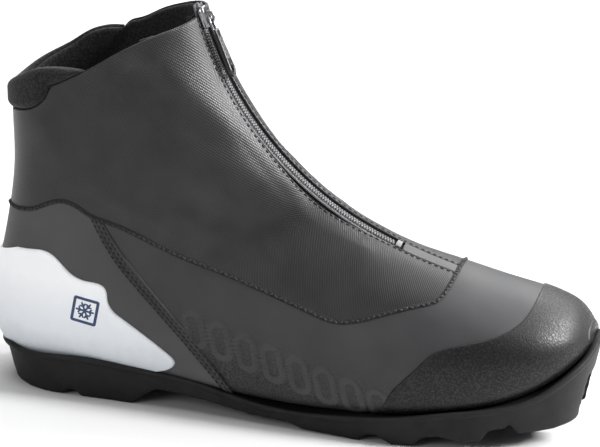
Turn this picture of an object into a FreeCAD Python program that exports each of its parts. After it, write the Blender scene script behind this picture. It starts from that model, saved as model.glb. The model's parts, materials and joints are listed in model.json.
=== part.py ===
"""Cross country ski boot, right foot, as an assembly of separate named pieces.

Frame: +X to the toe, +Z up, -Y to the outer (lateral) side, millimetres.
The origin is on the ground under the middle of the boot.

The upper is one master surface, a B-spline through oval sections that fan
from the collar round the instep to the toe. Every panel, lining and pad is a
layer between two insets of that surface, cut out by an outline seen from the side.
"""
import FreeCAD
import Part
import math
import os
from FreeCAD import Vector, Rotation, Placement

doc = FreeCAD.newDocument("cross_country_boot")


# ---------------------------------------------------------------- dimensions
SIZES = [
    ("section_poles", 28, "poles round each oval section of the upper"),
    ("cap_proud", 1.2, "how far the toe cap and heel counter stand proud"),
    ("cover_thick", 1.6, "thickness of the outer panels"),
    ("stiffener_in", 2.8, "inset of the stiffeners' inner face"),
    ("lining_in", 5.0, "inset of the lining's inner face"),
    ("eyestay_in", 3.4, "inset of the eyestays' inner face"),
    ("tongue_out", 5.4, "inset of the tongue's outer face"),
    ("tongue_in", 8.2, "inset of the tongue's inner face"),
    ("cuff_proud", 2.2, "how far the padded cuff stands proud"),
    ("cuff_in", 6.5, "inset of the padded cuff's inner face"),
    ("half_span", 80, "half width of every side-view cutter"),
    ("zip_radius", 169.5, "radius of the zip's track up the instep"),
    ("zip_centre_x", 107.5, "centre of the zip's track, forwards"),
    ("zip_centre_z", 247.6, "centre of the zip's track, upwards"),
    ("zip_offset", 6.0, "how far the zip lies to the outer side"),
    ("zip_top", 197.1, "angle of the zip's top end about its centre"),
    ("zip_bottom", 250.0, "angle of the zip's bottom end"),
    ("slider_rest", 199.5, "angle of the closed slider"),
    ("slot_half", 4.2, "half width of the slot in the outer panels"),
    ("tape_width", 3.2, "visible width of each zip tape"),
    ("coil_width", 1.85, "width of each half of the coil"),
    ("chain_gap", 0.75, "half gap between the two halves of the chain"),
    ("throat_half", 25, "half width of the throat under the zip cover"),
    ("eyelet_aside", 14.0, "distance of the eyelets from the zip's middle plane"),
    ("eyelet_outer", 2.2, "outer radius of an eyelet"),
    ("eyelet_inner", 1.5, "inner radius of an eyelet"),
    ("eyelet_length", 1.0, "length of an eyelet"),
    ("drill_length", 6.0, "length of the drill for an eyelet"),
    ("eyelet_count", 5, "eyelets on each side"),
    ("bar_radius", 2.0, "radius of the steel toe bar"),
    ("bar_length", 34, "length of the steel toe bar"),
    ("bar_gap", 24, "open width of the toe recess"),
    ("bar_x", 142.5, "toe bar, forwards"),
    ("bar_y", 9.0, "toe bar, sideways"),
    ("bar_z", 26.0, "toe bar, upwards"),
    ("groove_width", 6, "width of each binding groove in the sole"),
    ("groove_centre", 11, "distance of each groove from the centre line"),
    ("wall_draft", 0.17, "slope of the sole's side walls"),
    ("heel_draft", 0.28, "slope of the sole's rear wall"),
    ("wall_height", 60, "height of the blank that the sole is cut from"),
]
cells = doc.addObject("Spreadsheet::Sheet", "sizes")
for row, (alias, value, note) in enumerate(SIZES, start=1):
    cells.set("A%d" % row, alias)
    cells.set("B%d" % row, str(value))
    cells.set("C%d" % row, note)
    cells.setAlias("B%d" % row, alias)
doc.recompute()


def size(alias):
    """The value of one driving dimension."""
    return float(cells.get(alias))


CENTRE = Vector(size("zip_centre_x"), 0, size("zip_centre_z"))
ZIP_Y = -size("zip_offset")


def on_track(angle, radius):
    """Point (x, z) at an angle in degrees about the centre of the zip's track."""
    turn = math.radians(angle)
    return CENTRE.x + radius * math.cos(turn), CENTRE.z + radius * math.sin(turn)


def ridge(angle):
    """Pole of the instep ridge: a little inside the track, as the surface smooths it."""
    return on_track(angle, size("zip_radius") - 2.2)


# ------------------------------------------------------------ master surface
# front or top point, back or bottom point, half width, sideways shift,
# height of the widest place, fullness above it, fullness below it
STATIONS = [
    ((-59, 223), (-149, 178), 37, 0, 0.50, 2.0, 2.2),
    (ridge(195), (-147.5, 153), 37.5, 0, 0.50, 2.0, 2.2),
    (ridge(201), (-146.5, 132), 38, 0, 0.50, 2.0, 2.2),
    (ridge(208), (-144.7, 113), 39, 0, 0.50, 2.0, 2.2),
    (ridge(215), (-146, 95), 40, 0, 0.50, 2.0, 2.2),
    (ridge(222), (-148.6, 75), 40, 0, 0.48, 2.0, 2.2),
    (ridge(228), (-153, 54), 38.5, 0, 0.47, 2.0, 2.2),
    (ridge(232.5), (-153.5, 31), 37, 0, 0.45, 2.0, 2.3),
    (ridge(236), (-148, 14), 36.5, 0, 0.42, 2.0, 2.6),
    (ridge(239.5), (-123, 11.5), 36.5, 0, 0.38, 2.05, 3.6),
    (ridge(243.5), (-80, 12), 37.5, -0.5, 0.33, 2.1, 4.2),
    (ridge(248), (-35, 10.5), 40.5, -1.5, 0.28, 2.15, 4.4),
    ((60, 85.6), (15, 8), 45.5, -1, 0.26, 2.2, 4.4),
    ((80, 80.2), (60, 10), 49, 0.5, 0.28, 2.25, 4.2),
    ((101, 73), (96, 16), 48.5, 3, 0.30, 2.3, 4.0),
    ((119, 68.8), (120, 24), 43.5, 6, 0.33, 2.3, 3.6),
    ((131, 64.6), (134, 32.5), 36, 8, 0.36, 2.3, 3.2),
    ((139.5, 60.5), (143, 40), 26.5, 9.5, 0.40, 2.3, 3.0),
    ((144.5, 53.5), (147, 46), 14, 10, 0.45, 2.2, 2.6),
]
TOE_STATIONS = 4      # stations at the toe whose inset also moves them back
PLACES_ROUND = 2000   # places tried round a section to find a point on it


def section(index, inset):
    """Poles of one oval section, moved in by the inset."""
    front, back, half, shift, widest, above, below = STATIONS[index]
    top, base = Vector(front[0], 0, front[1]), Vector(back[0], 0, back[1])
    height = (top - base).Length
    axis = (top - base) / height
    middle = base + axis * (height * widest)
    slide = Vector(0, 0, 0)
    last = len(STATIONS) - 1
    if index > last - TOE_STATIONS:
        slide.x = -inset * (index - last + TOE_STATIONS) / TOE_STATIONS
    if index == 0:
        slide.z = inset
    poles = []
    count = int(size("section_poles"))
    for step in range(count):
        angle = 2 * math.pi * step / count
        up, out = math.cos(angle), math.sin(angle)
        fullness = above if up > 0 else below
        reach = height * (1 - widest if up > 0 else widest) - inset
        rise = math.copysign(abs(up) ** (2 / fullness), up) * reach
        side = math.copysign(abs(out) ** (2 / fullness), out) * (half - inset)
        poles.append(middle + slide + axis * rise + Vector(0, shift + side, 0))
    return poles


def upper_surface(inset):
    """Smooth surface of the upper at one inset, closed round each section."""
    rows = [section(index, inset) for index in range(len(STATIONS))]
    around, along = len(rows[0]), len(rows)
    grid = [[rows[j][i] for j in range(along)] for i in range(around)]
    knots_along = list(range(along - 2))
    mults_along = [4] + [1] * (along - 4) + [4]
    surface = Part.BSplineSurface()
    surface.buildFromPolesMultsKnots(grid, [1] * (around + 1), mults_along,
                                     list(range(around + 1)), knots_along, True, False, 3, 3)
    return surface


def upper_solid(label, inset):
    """Solid inside the upper's surface at one inset."""
    surface = upper_surface(inset)
    side = surface.toShape()
    low, high = surface.bounds()[2:]
    ends = [Part.Face(Part.Wire([surface.vIso(at).toShape()])) for at in (low, high)]
    shell = Part.Shell([side] + ends)
    shell.sewShape()
    solid = Part.Solid(shell)
    if solid.Volume < 0:
        solid.reverse()
    feature = doc.addObject("Part::Feature", label)
    feature.Shape = solid
    return feature


def surface_point(surface, along, target_y):
    """Point and outward normal where the front of the upper crosses one value of y."""
    turn = surface.bounds()[1]
    spots = [(turn * step / PLACES_ROUND, surface.value(turn * step / PLACES_ROUND, along))
             for step in range(PLACES_ROUND)]
    middle = sum(spot.x + spot.z for _, spot in spots) / len(spots)
    place, spot = min(((place, spot) for place, spot in spots if spot.x + spot.z > middle),
                      key=lambda item: abs(item[1].y - target_y))
    normal = surface.normal(place, along)
    if normal.x + normal.z < 0:
        normal = normal * -1
    return spot, normal


# ------------------------------------------------------------------- helpers
def combine(kind, label, base, tool):
    """A boolean of two objects."""
    result = doc.addObject("Part::" + kind, label)
    result.Base = base
    result.Tool = tool
    return result


def chain(runs):
    """Sketch geometry of a closed outline: two-point runs are lines, longer ones splines."""
    geometry = []
    points = [[Vector(x, y, 0) for x, y in run] for run in runs]
    for index, run in enumerate(points):
        if len(run) == 2:
            geometry.append(Part.LineSegment(run[0], run[1]))
        else:
            curve = Part.BSplineCurve()
            curve.interpolate(run)
            geometry.append(curve)
        start, end = points[(index + 1) % len(points)][0], run[-1]
        if (start - end).Length > 0.001:
            geometry.append(Part.LineSegment(end, start))
    return geometry


def polygon(points):
    """Straight runs through the points, for use in an outline."""
    return [[points[i], points[i + 1]] for i in range(len(points) - 1)]


def side_cutter(label, runs, low=None, high=None):
    """Solid whose outline is seen from the side, from y = low to y = high."""
    sketch = doc.addObject("Sketcher::SketchObject", label + "_outline")
    sketch.addGeometry(chain(runs), False)
    sketch.Placement = Placement(Vector(0, 0, 0), Rotation(Vector(1, 0, 0), 90))
    cutter = doc.addObject("Part::Extrusion", label)
    cutter.Base = sketch
    cutter.DirMode = "Custom"
    cutter.Dir = Vector(0, 1, 0)
    cutter.Solid = True
    if low is None:
        cutter.setExpression("LengthFwd", "sizes.half_span")
        cutter.setExpression("LengthRev", "sizes.half_span")
    else:
        cutter.LengthFwd = high
        cutter.LengthRev = -low
    return cutter


def origin_plane(body, role):
    """One of a body's own origin planes."""
    return [plane for plane in body.Origin.OriginFeatures if plane.Role == role][0]


def padded_body(label, geometry, low, high):
    """PartDesign body: an outline in the XZ plane padded from y = low to y = high."""
    body = doc.addObject("PartDesign::Body", label)
    sketch = body.newObject("Sketcher::SketchObject", label + "_sketch")
    sketch.AttachmentSupport = [(origin_plane(body, "XZ_Plane"), "")]
    sketch.MapMode = "FlatFace"
    sketch.AttachmentOffset = Placement(Vector(0, 0, -low), Rotation())
    sketch.addGeometry(geometry, False)
    pad = body.newObject("PartDesign::Pad", label + "_pad")
    pad.Profile = sketch
    pad.Length = high - low
    pad.Reversed = True
    return body


def track_strip(label, inner, outer, low, high, start, end):
    """Strip that follows the zip's track between two radii and two angles."""
    centre = Vector(CENTRE.x, CENTRE.z, 0)
    turns = math.radians(start), math.radians(end)
    arcs = [Part.ArcOfCircle(Part.Circle(centre, Vector(0, 0, 1), radius), *turns)
            for radius in (inner, outer)]
    ends = [Part.LineSegment(arcs[0].value(turn), arcs[1].value(turn)) for turn in turns]
    return padded_body(label, arcs + ends, low, high)


def box(label, low, high):
    """Box between two corners."""
    block = doc.addObject("Part::Box", label)
    block.Length, block.Width, block.Height = [high[i] - low[i] for i in range(3)]
    block.Placement = Placement(Vector(*low), Rotation())
    return block


# ------------------------------------------------------- layers of the upper
solids = {}
for name, alias, sign in [("proud", "cap_proud", -1), ("cuff_outer", "cuff_proud", -1),
                          ("panel_inner", "cover_thick", 1), ("stiffener_inner", "stiffener_in", 1),
                          ("lining_inner", "lining_in", 1), ("eyestay_inner", "eyestay_in", 1),
                          ("tongue_outer", "tongue_out", 1), ("tongue_inner", "tongue_in", 1),
                          ("cuff_inner", "cuff_in", 1)]:
    solids[name] = upper_solid("upper_" + name, sign * size(alias))
solids["outer"] = upper_solid("upper_outer", 0)

proud_layer = combine("Cut", "proud_layer", solids["proud"], solids["outer"])
panel_layer = combine("Cut", "panel_layer", solids["outer"], solids["panel_inner"])
stiffener_layer = combine("Cut", "stiffener_layer", solids["panel_inner"], solids["stiffener_inner"])
lining_layer = combine("Cut", "lining_layer", solids["stiffener_inner"], solids["lining_inner"])
shaft_layer = combine("Cut", "shaft_layer", solids["panel_inner"], solids["lining_inner"])
cuff_layer = combine("Cut", "cuff_layer", solids["cuff_outer"], solids["cuff_inner"])
eyestay_layer = combine("Cut", "eyestay_layer", solids["panel_inner"], solids["eyestay_inner"])

# ---------------------------------------------------------- side-view curves
SEAM = [(-160, 90), (-138, 90.1), (-124.6, 94), (-116, 98.6), (-109.5, 100.2), (-103, 98.7),
        (-96, 95), (-86.7, 92.5), (-73.8, 88), (-55, 79.8), (-28, 71.2), (-4.6, 64.5),
        (16.8, 58.5), (28, 56.2), (36, 57.2), (53.7, 63), (71, 68), (76, 69.6)]
SEAM_FRONT = [(76, 69.6), (79.3, 73.6), (81.6, 80), (83, 90)]
CUFF_EDGE = [(-160, 136.5), (-149, 137.5), (-140, 140), (-131, 143), (-125.4, 146.5),
             (-121.4, 151), (-118.8, 157)]
COLLAR_LATERAL = [(-118.8, 157), (-101.2, 166.7), (-86.5, 176.2), (-70.7, 185.3), (-56, 190.5),
                  (-40, 193)]
COLLAR_MEDIAL = [(-118.8, 157), (-102, 172.5), (-93.7, 178), (-83.5, 183.5), (-70, 189.5),
                 (-56, 194.5), (-40, 197)]
PIPING_REAR = [(-96, 95), (-85.5, 76), (-73.5, 61.5), (-60, 48), (-49, 37.8),
               (-36.5, 26), (-26.5, 15.5), (-20, 5)]
PIPING_FRONT = [(-16.5, 5), (-22.8, 17.5), (-32.5, 28.6), (-45, 41), (-56, 51.5), (-69, 65.2),
                (-80.5, 79.5), (-90, 94.5)]
COUNTER_EDGE = [(-162, 72.2), (-143, 71.6), (-131, 72), (-120, 73.4), (-114, 71.5), (-102.7, 61.3),
                (-92.4, 60.1), (-86.7, 55), (-85, 48), (-72.5, 40.8), (-57.2, 31.2),
                (-53.4, 26.7), (-54.3, 21.5), (-62, 14)]
TOE_EDGE = [(52, 11), (58, 26), (69.4, 39.6), (77, 47.5), (82, 50.2), (91, 52.8), (103.4, 56),
            (111.5, 59.3), (117, 63.2), (119.7, 67.6), (119.5, 75)]
RIM = [(-158, 28), (-147, 23.8), (-139, 20.4), (-129, 19.3), (-115, 20.3), (-98, 21.3), (-80, 20.1),
       (-62, 18.8), (-44, 17), (-28, 14.2), (-12, 10.9), (4, 9.5), (20, 9.8), (40, 11.8), (62, 14.5),
       (82, 18.3), (102, 21.2), (116, 23.8), (127, 27.6), (136, 33.4), (143, 38.8), (148, 43.6),
       (151, 49), (153, 52), (160, 53)]
BOTTOM = [(-160, 16), (-148, 15.5), (-123, 13), (-80, 12.5), (-35, 10.8), (15, 8.6), (60, 11),
          (96, 17), (120, 25), (134, 33), (142, 40.5), (147, 47), (160, 60)]


def lifted(points, height):
    """The same curve, moved up."""
    return [(x, z + height) for x, z in points]


BOARD_TOP = lifted(BOTTOM, 3.6)
FOOTBED_TOP = [(-152, 27)] + lifted(BOTTOM[2:10], 10.5)

ankle_lateral_cutter = side_cutter("ankle_lateral_cutter", [
    SEAM, SEAM_FRONT, [(83, 90), (83, 240)], [(83, 240), (-40, 240)], [(-40, 240), (-40, 193)],
    COLLAR_LATERAL[::-1], CUFF_EDGE[::-1]])
ankle_medial_cutter = side_cutter("ankle_medial_cutter", [
    SEAM, SEAM_FRONT, [(83, 90), (83, 240)], [(83, 240), (-40, 240)], [(-40, 240), (-40, 197)],
    COLLAR_MEDIAL[::-1], CUFF_EDGE[::-1]])
grey_cutter = side_cutter("grey_cutter", [
    SEAM, SEAM_FRONT, [(83, 90), (170, 90)], [(170, 90), (170, -10)], [(170, -10), (-160, -10)]])
rear_cutter = side_cutter("rear_cutter", [
    PIPING_FRONT[::-1], [(-16.5, 5), (-16.5, -10)], [(-16.5, -10), (-170, -10)],
    [(-170, -10), (-170, 120)], [(-170, 120), (-90, 120)], [(-90, 120), (-90, 94.5)]])
piping_cutter = side_cutter("piping_cutter", [PIPING_REAR, PIPING_FRONT])
counter_cutter = side_cutter("counter_cutter", [COUNTER_EDGE, [(-62, 14), (-162, 14)]])
toe_cutter = side_cutter("toe_cutter", [TOE_EDGE, [(119.5, 75), (160, 75)],
                                        [(160, 75), (160, 0)], [(160, 0), (52, 0)]])

# -------------------------------------------------------------- outer panels
grey_shell = combine("Common", "grey_shell", panel_layer, grey_cutter)
rear_quarter = combine("Common", "rear_quarter", grey_shell, rear_cutter)
front_shell = combine("Cut", "front_shell", grey_shell, rear_cutter)

SPLIT_TURN = -2.3
slot_band = [[(-100, 150), (-70, 130), (-30, 95), (20, 70), (70, 60)], [(70, 60), (86, 60)],
             [(86, 60), (86, 120)], [(86, 120), (-30, 240)], [(-30, 240), (-100, 240)]]
slot = side_cutter("zip_slot", slot_band, ZIP_Y - size("slot_half"), ZIP_Y + size("slot_half"))
medial_half = box("medial_half", (-200, 2, 0), (200, 102, 260))
medial_half.Placement.Rotation = Rotation(Vector(0, 0, 1), SPLIT_TURN)
open_panels = combine("Cut", "open_panels", panel_layer, slot)
lateral_panel = combine("Common", "lateral_panel", open_panels, ankle_lateral_cutter)
ankle_shell_lateral = combine("Cut", "ankle_shell_lateral", lateral_panel, medial_half)
medial_panel = combine("Common", "medial_panel", open_panels, ankle_medial_cutter)
ankle_shell_medial = combine("Common", "ankle_shell_medial", medial_panel, medial_half)

zip_end_x = on_track(size("zip_bottom") + 1.4, size("zip_radius"))[0]
placket_cutter = side_cutter("placket_cutter", [
    [(zip_end_x, 60), (76, 69.6)], SEAM_FRONT, [(83, 90), (zip_end_x, 120)],
    [(zip_end_x, 120), (zip_end_x, 60)]], ZIP_Y - size("slot_half"), ZIP_Y + size("slot_half"))
placket = combine("Common", "placket", panel_layer, placket_cutter)

piping_band = combine("Common", "piping_band", proud_layer, piping_cutter)
quarter_piping_medial = combine("Common", "quarter_piping_medial", piping_band,
                                box("medial_side", (-160, 0, 13), (160, 90, 130)))
quarter_piping_lateral = combine("Common", "quarter_piping_lateral", piping_band,
                                 box("lateral_side", (-160, -90, 13), (160, 0, 130)))
heel_counter = combine("Common", "heel_counter", proud_layer, counter_cutter)
toe_cap = combine("Common", "toe_cap", proud_layer, toe_cutter)

# ------------------------------------------------------ vamp and the quarters
vamp_cutter = side_cutter("vamp_cutter", [
    [(48, -10), (48, 30), (52, 45), (62, 58), (66, 66), (66, 100)], [(66, 100), (170, 100)],
    [(170, 100), (170, -10)], [(170, -10), (48, -10)]])
vamp = combine("Common", "vamp", front_shell, vamp_cutter)
quarters = combine("Cut", "quarters", front_shell, vamp_cutter)
quarter_medial = combine("Common", "quarter_medial", quarters,
                         box("medial_quarter_side", (-160, -1, -10), (160, 90, 130)))
quarter_lateral = combine("Common", "quarter_lateral", quarters,
                          box("lateral_quarter_side", (-160, -90, -10), (160, -1, 130)))

# ------------------------------------------------- stiffeners and the linings
throat_low = ZIP_Y - size("throat_half")
throat_high = ZIP_Y + size("throat_half")
THROAT = [[(-86, 206), (-73, 165), (-60, 138), (-44, 117), (-27, 101), (-5, 87), (20, 76),
           (45, 66), (62, 60)], [(62, 60), (66, 110)], [(66, 110), (-20, 235)],
          [(-20, 235), (-86, 235)]]
throat = side_cutter("throat", THROAT, throat_low, throat_high)

SHAFT_LINE = [(-160, 86), (-120, 88), (-80, 84), (-40, 66), (0, 52), (40, 50), (66, 60)]
SHAFT_END = [(66, 60), (66, 110)]
counter_zone = side_cutter("counter_zone", [
    [(-160, 0), (-61, 0)], [(-61, 0), (-62, 15.6), (-66, 30), (-84, 52), (-104, 68), (-128, 76),
                            (-160, 76)]])
puff_zone = side_cutter("puff_zone", [
    [(88, 0), (160, 0)], [(160, 0), (160, 90)], [(160, 90), (100, 90)],
    [(100, 90), (98, 60), (92, 40), (88, 0)]])
below_shaft = side_cutter("below_shaft", [
    BOARD_TOP, [(160, 63.6), (160, 110)], [(160, 110), (66, 110)], SHAFT_END[::-1],
    SHAFT_LINE[::-1], [(-160, 86), (-160, 19.6)]])
foot_layer = combine("Common", "foot_layer", stiffener_layer, below_shaft)
internal_counter = combine("Common", "internal_counter", foot_layer, counter_zone)
toe_puff = combine("Common", "toe_puff", foot_layer, puff_zone)
foot_foam_rear = combine("Cut", "foot_foam_rear", foot_layer, counter_zone)
foot_foam_open = combine("Cut", "foot_foam_open", foot_foam_rear, puff_zone)
insulation_layer = combine("Cut", "insulation_layer", foot_foam_open, throat)

foot_lining = combine("Common", "foot_lining", lining_layer, below_shaft)
foot_lining_open = combine("Cut", "foot_lining_open", foot_lining, throat)
lining_split = box("lining_split", (-170, -90, 0), (-40, 90, 130))
heel_lining = combine("Common", "heel_lining", foot_lining_open, lining_split)
forefoot_lining = combine("Cut", "forefoot_lining", foot_lining_open, lining_split)

CUFF_TOP = [(-98, 172.5), (-108, 172), (-116, 170.5), (-124, 167.5), (-131, 165), (-139, 160.5),
            (-147, 153), (-153, 144), (-160, 136.5)]
cuff_cutter = side_cutter("cuff_cutter", [
    CUFF_EDGE, [(-118.8, 157), (-101.2, 166.7)], [(-101.2, 166.7), (-98, 172.5)], CUFF_TOP])
cuff_band = combine("Common", "cuff_band", cuff_layer, cuff_cutter)
collar_cuff = combine("Cut", "collar_cuff", cuff_band, ankle_shell_medial)
shaft_zone = side_cutter("shaft_zone", [
    SHAFT_LINE, SHAFT_END, [(66, 110), (66, 240)], [(66, 240), (-40, 240)],
    [(-40, 240), (-40, 190)], [(x, z - 2) for x, z in COLLAR_LATERAL[:-1]][::-1],
    lifted(CUFF_EDGE, -0.5)[::-1]])
shaft_tube = combine("Common", "shaft_tube", shaft_layer, shaft_zone)
shaft_without_cuff = combine("Cut", "shaft_without_cuff", shaft_tube, cuff_cutter)
shaft_lining = combine("Cut", "shaft_lining", shaft_without_cuff, throat)

# ----------------------------------------------------- under the zip's cover
tongue_zone = side_cutter("tongue_zone", [
    [(-78, 182), (-71, 165), (-58, 138), (-42, 117), (-25, 101), (-3, 87), (22, 76), (45, 67),
     (60, 61)], [(60, 61), (64, 110)], [(64, 110), (-30, 186)],
    [(-30, 186), (-55, 187), (-78, 182)]], throat_low + 0.5, throat_high - 0.5)
tongue_blank = combine("Common", "tongue_blank", solids["tongue_outer"], tongue_zone)
tongue = combine("Cut", "tongue", tongue_blank, solids["tongue_inner"])
EYESTAY_BAND = [[(-74, 178), (-62, 147), (-45, 121), (-26, 103), (-4, 89), (21, 77), (45, 67.5),
                 (58, 63)], [(58, 63), (61, 110)], [(61, 110), (-30, 180)],
                [(-30, 180), (-74, 178)]]

middle_surface = upper_surface((size("cover_thick") + size("eyestay_in")) / 2)
EYELET_ALONG = (3.2, 10.2)
eyestay_sides = {"lateral": (ZIP_Y - 24.8, ZIP_Y - 11.5), "medial": (ZIP_Y + 11.5, ZIP_Y + 24.8)}
eyelet_rings = []
for side, (low, high) in eyestay_sides.items():
    zone = side_cutter("eyestay_zone_" + side, EYESTAY_BAND, low, high)
    blank = combine("Common", "eyestay_blank_" + side, eyestay_layer, zone)
    drills = []
    for number in range(int(size("eyelet_count"))):
        share = number / (size("eyelet_count") - 1)
        along = EYELET_ALONG[0] + share * (EYELET_ALONG[1] - EYELET_ALONG[0])
        aside = math.copysign(size("eyelet_aside"), low - ZIP_Y)
        spot, normal = surface_point(middle_surface, along, ZIP_Y + aside)
        ring = {}
        for part_name, length in (("outer", "eyelet_length"), ("inner", "eyelet_length"),
                                  ("outer_drill", "drill_length")):
            tube = doc.addObject("Part::Cylinder", "eyelet_%s_%s_%d" % (part_name, side, number))
            tube.setExpression("Radius", "sizes.eyelet_" + part_name.split("_")[0])
            tube.setExpression("Height", "sizes." + length)
            tube.Placement = Placement(spot - normal * (size(length) / 2),
                                       Rotation(Vector(0, 0, 1), normal))
            ring[part_name] = tube
        drills.append(ring["outer_drill"])
        eyelet_rings.append(combine("Cut", "eyelet_ring_%s_%d" % (side, number),
                                    ring["outer"], ring["inner"]))
    drill = doc.addObject("Part::MultiFuse", "eyelet_drill_" + side)
    drill.Shapes = drills
    combine("Cut", "eyestay_" + side, blank, drill)
eyelets = doc.addObject("Part::Compound", "eyelets")
eyelets.Links = eyelet_rings

# ----------------------------------------------------------------------- zip
radius = size("zip_radius")
TAPE_TOP, TAPE_BASE, COIL_TOP = radius + 0.7, radius + 1.3, radius - 1.1
gap, tape, coil = size("chain_gap"), size("tape_width"), size("coil_width")
ends = size("zip_top"), size("zip_bottom")
for side, sign in (("lateral", -1), ("medial", 1)):
    for kind, inner, outer, width in (("tape", TAPE_TOP, TAPE_BASE, tape),
                                      ("coil", COIL_TOP, TAPE_TOP, coil)):
        edges = sorted((ZIP_Y + sign * gap, ZIP_Y + sign * (gap + width)))
        track_strip("zip_%s_%s" % (kind, side), inner, outer, edges[0], edges[1], *ends)

top_stops = [track_strip("zip_top_stop_" + side, COIL_TOP - 0.6, COIL_TOP,
                         *sorted((ZIP_Y + sign * (gap + 0.2), ZIP_Y + sign * (gap + 1.7))),
                         ends[0], ends[0] + 0.45) for side, sign in (("a", -1), ("b", 1))]
zip_top_stops = doc.addObject("Part::Compound", "zip_top_stops")
zip_top_stops.Links = top_stops
GUARD_TOP, GUARD_BASE, GUARD_HALF = radius + 2.6, radius + 3.1, 4.1
track_strip("zip_guard", GUARD_TOP, GUARD_BASE, ZIP_Y - GUARD_HALF, ZIP_Y + GUARD_HALF,
            ends[0] + 1.5, ends[1] - 1)
track_strip("zip_bottom_stop", COIL_TOP - 0.8, TAPE_BASE, ZIP_Y - 4, ZIP_Y + 4,
            ends[1], ends[1] + 0.9)

rest = size("slider_rest")
SLIDER_HALF = 1.7
PLATE_TOP, PLATE_BASE = COIL_TOP - 1.7, COIL_TOP - 0.35
LOWER_TOP, LOWER_BASE = TAPE_BASE + 0.35, TAPE_BASE + 0.95
WEB = 0.4
slider_ends = rest - SLIDER_HALF, rest + SLIDER_HALF
slider_pieces = [
    track_strip("slider_plate", PLATE_TOP, PLATE_BASE, ZIP_Y - 3.6, ZIP_Y + 3.6, *slider_ends),
    track_strip("slider_flange_lateral", PLATE_TOP, TAPE_TOP - 0.35, ZIP_Y - 3.7, ZIP_Y - 3.05,
                *slider_ends),
    track_strip("slider_flange_medial", PLATE_TOP, TAPE_TOP - 0.35, ZIP_Y + 3.05, ZIP_Y + 3.7,
                *slider_ends),
    track_strip("slider_web", PLATE_TOP, LOWER_BASE, ZIP_Y - WEB, ZIP_Y + WEB,
                rest - 0.9, rest + 0.4),
    track_strip("slider_lower_plate", LOWER_TOP, LOWER_BASE, ZIP_Y - 3.2, ZIP_Y + 3.2,
                *slider_ends),
]
BAIL_HEIGHT, BAIL_WALL = 2.8, 0.7
pivot_angle = rest + 0.5
bail_ends = pivot_angle - 0.85, pivot_angle + 0.85
slider_pieces += [
    track_strip("slider_bail_top", PLATE_TOP - BAIL_HEIGHT - BAIL_WALL, PLATE_TOP - BAIL_HEIGHT,
                ZIP_Y - 1, ZIP_Y + 1, *bail_ends),
    track_strip("slider_bail_upper", PLATE_TOP - BAIL_HEIGHT - BAIL_WALL, PLATE_TOP,
                ZIP_Y - 1, ZIP_Y + 1, bail_ends[0], bail_ends[0] + 0.28),
    track_strip("slider_bail_lower", PLATE_TOP - BAIL_HEIGHT - BAIL_WALL, PLATE_TOP,
                ZIP_Y - 1, ZIP_Y + 1, bail_ends[1] - 0.28, bail_ends[1]),
]
zip_slider = doc.addObject("Part::MultiFuse", "zip_slider")
zip_slider.Shapes = slider_pieces

# The pull hangs from the slider's bail. Its own frame: x down the pull, y across, z outwards.
PIVOT_RADIUS = PLATE_TOP - BAIL_HEIGHT / 2
pivot_x, pivot_z = on_track(pivot_angle, PIVOT_RADIUS)
pivot = Vector(pivot_x, ZIP_Y, pivot_z)
PULL_TILT = 5
down = Vector(-math.sin(math.radians(pivot_angle)), 0, math.cos(math.radians(pivot_angle)))
pull_turn = Rotation(Vector(0, 1, 0), -math.degrees(math.atan2(down.z, down.x)) - PULL_TILT)
pull_place = Placement(pivot, pull_turn)
LINK_ROD, LINK_HALF, LINK_LENGTH = 0.7, 2.3, 8.5


def link_rod(label, start, end):
    """Round rod of the pull's link between two points in the pull's frame."""
    rod = doc.addObject("Part::Cylinder", label)
    rod.Radius = LINK_ROD
    line = Vector(*end) - Vector(*start)
    rod.Height = line.Length
    rod.Placement = pull_place * Placement(Vector(*start), Rotation(Vector(0, 0, 1), line))
    return rod


def link_ball(label, spot):
    """Rounded corner of the pull's link."""
    ball = doc.addObject("Part::Sphere", label)
    ball.Radius = LINK_ROD
    ball.Placement = pull_place * Placement(Vector(*spot), Rotation())
    return ball


corners = [(0, -LINK_HALF, 0), (0, LINK_HALF, 0), (LINK_LENGTH, LINK_HALF, 0),
           (LINK_LENGTH, -LINK_HALF, 0)]
zip_pull_link = doc.addObject("Part::MultiFuse", "zip_pull_link")
zip_pull_link.Shapes = (
    [link_rod("link_rod_%d" % i, corners[i], corners[(i + 1) % 4]) for i in range(4)]
    + [link_ball("link_ball_%d" % i, corners[i]) for i in range(4)])

GRIP_START, GRIP_LENGTH, GRIP_WIDTH, GRIP_THICK = 6.0, 25.0, 8.0, 2.8
grip_slab = doc.addObject("Part::Box", "grip_slab")
grip_slab.Length = GRIP_LENGTH - GRIP_WIDTH / 2
grip_slab.Width = GRIP_WIDTH
grip_slab.Height = GRIP_THICK
grip_slab.Placement = pull_place * Placement(Vector(GRIP_START, -GRIP_WIDTH / 2, -GRIP_THICK / 2),
                                             Rotation())
grip_round_x = GRIP_START + GRIP_LENGTH - GRIP_WIDTH / 2
grip_discs = []
for label, disc_radius, extra in (("grip_round", GRIP_WIDTH / 2, 0), ("grip_hole", 1.9, 1)):
    disc = doc.addObject("Part::Cylinder", label)
    disc.Radius = disc_radius
    disc.Height = GRIP_THICK + 2 * extra
    disc.Placement = pull_place * Placement(
        Vector(grip_round_x, 0, -GRIP_THICK / 2 - extra), Rotation())
    grip_discs.append(disc)
grip_blank = combine("Fuse", "grip_blank", grip_slab, grip_discs[0])
grip_holed = combine("Cut", "grip_holed", grip_blank, grip_discs[1])
zip_pull_grip = combine("Cut", "zip_pull_grip", grip_holed, zip_pull_link)

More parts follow.
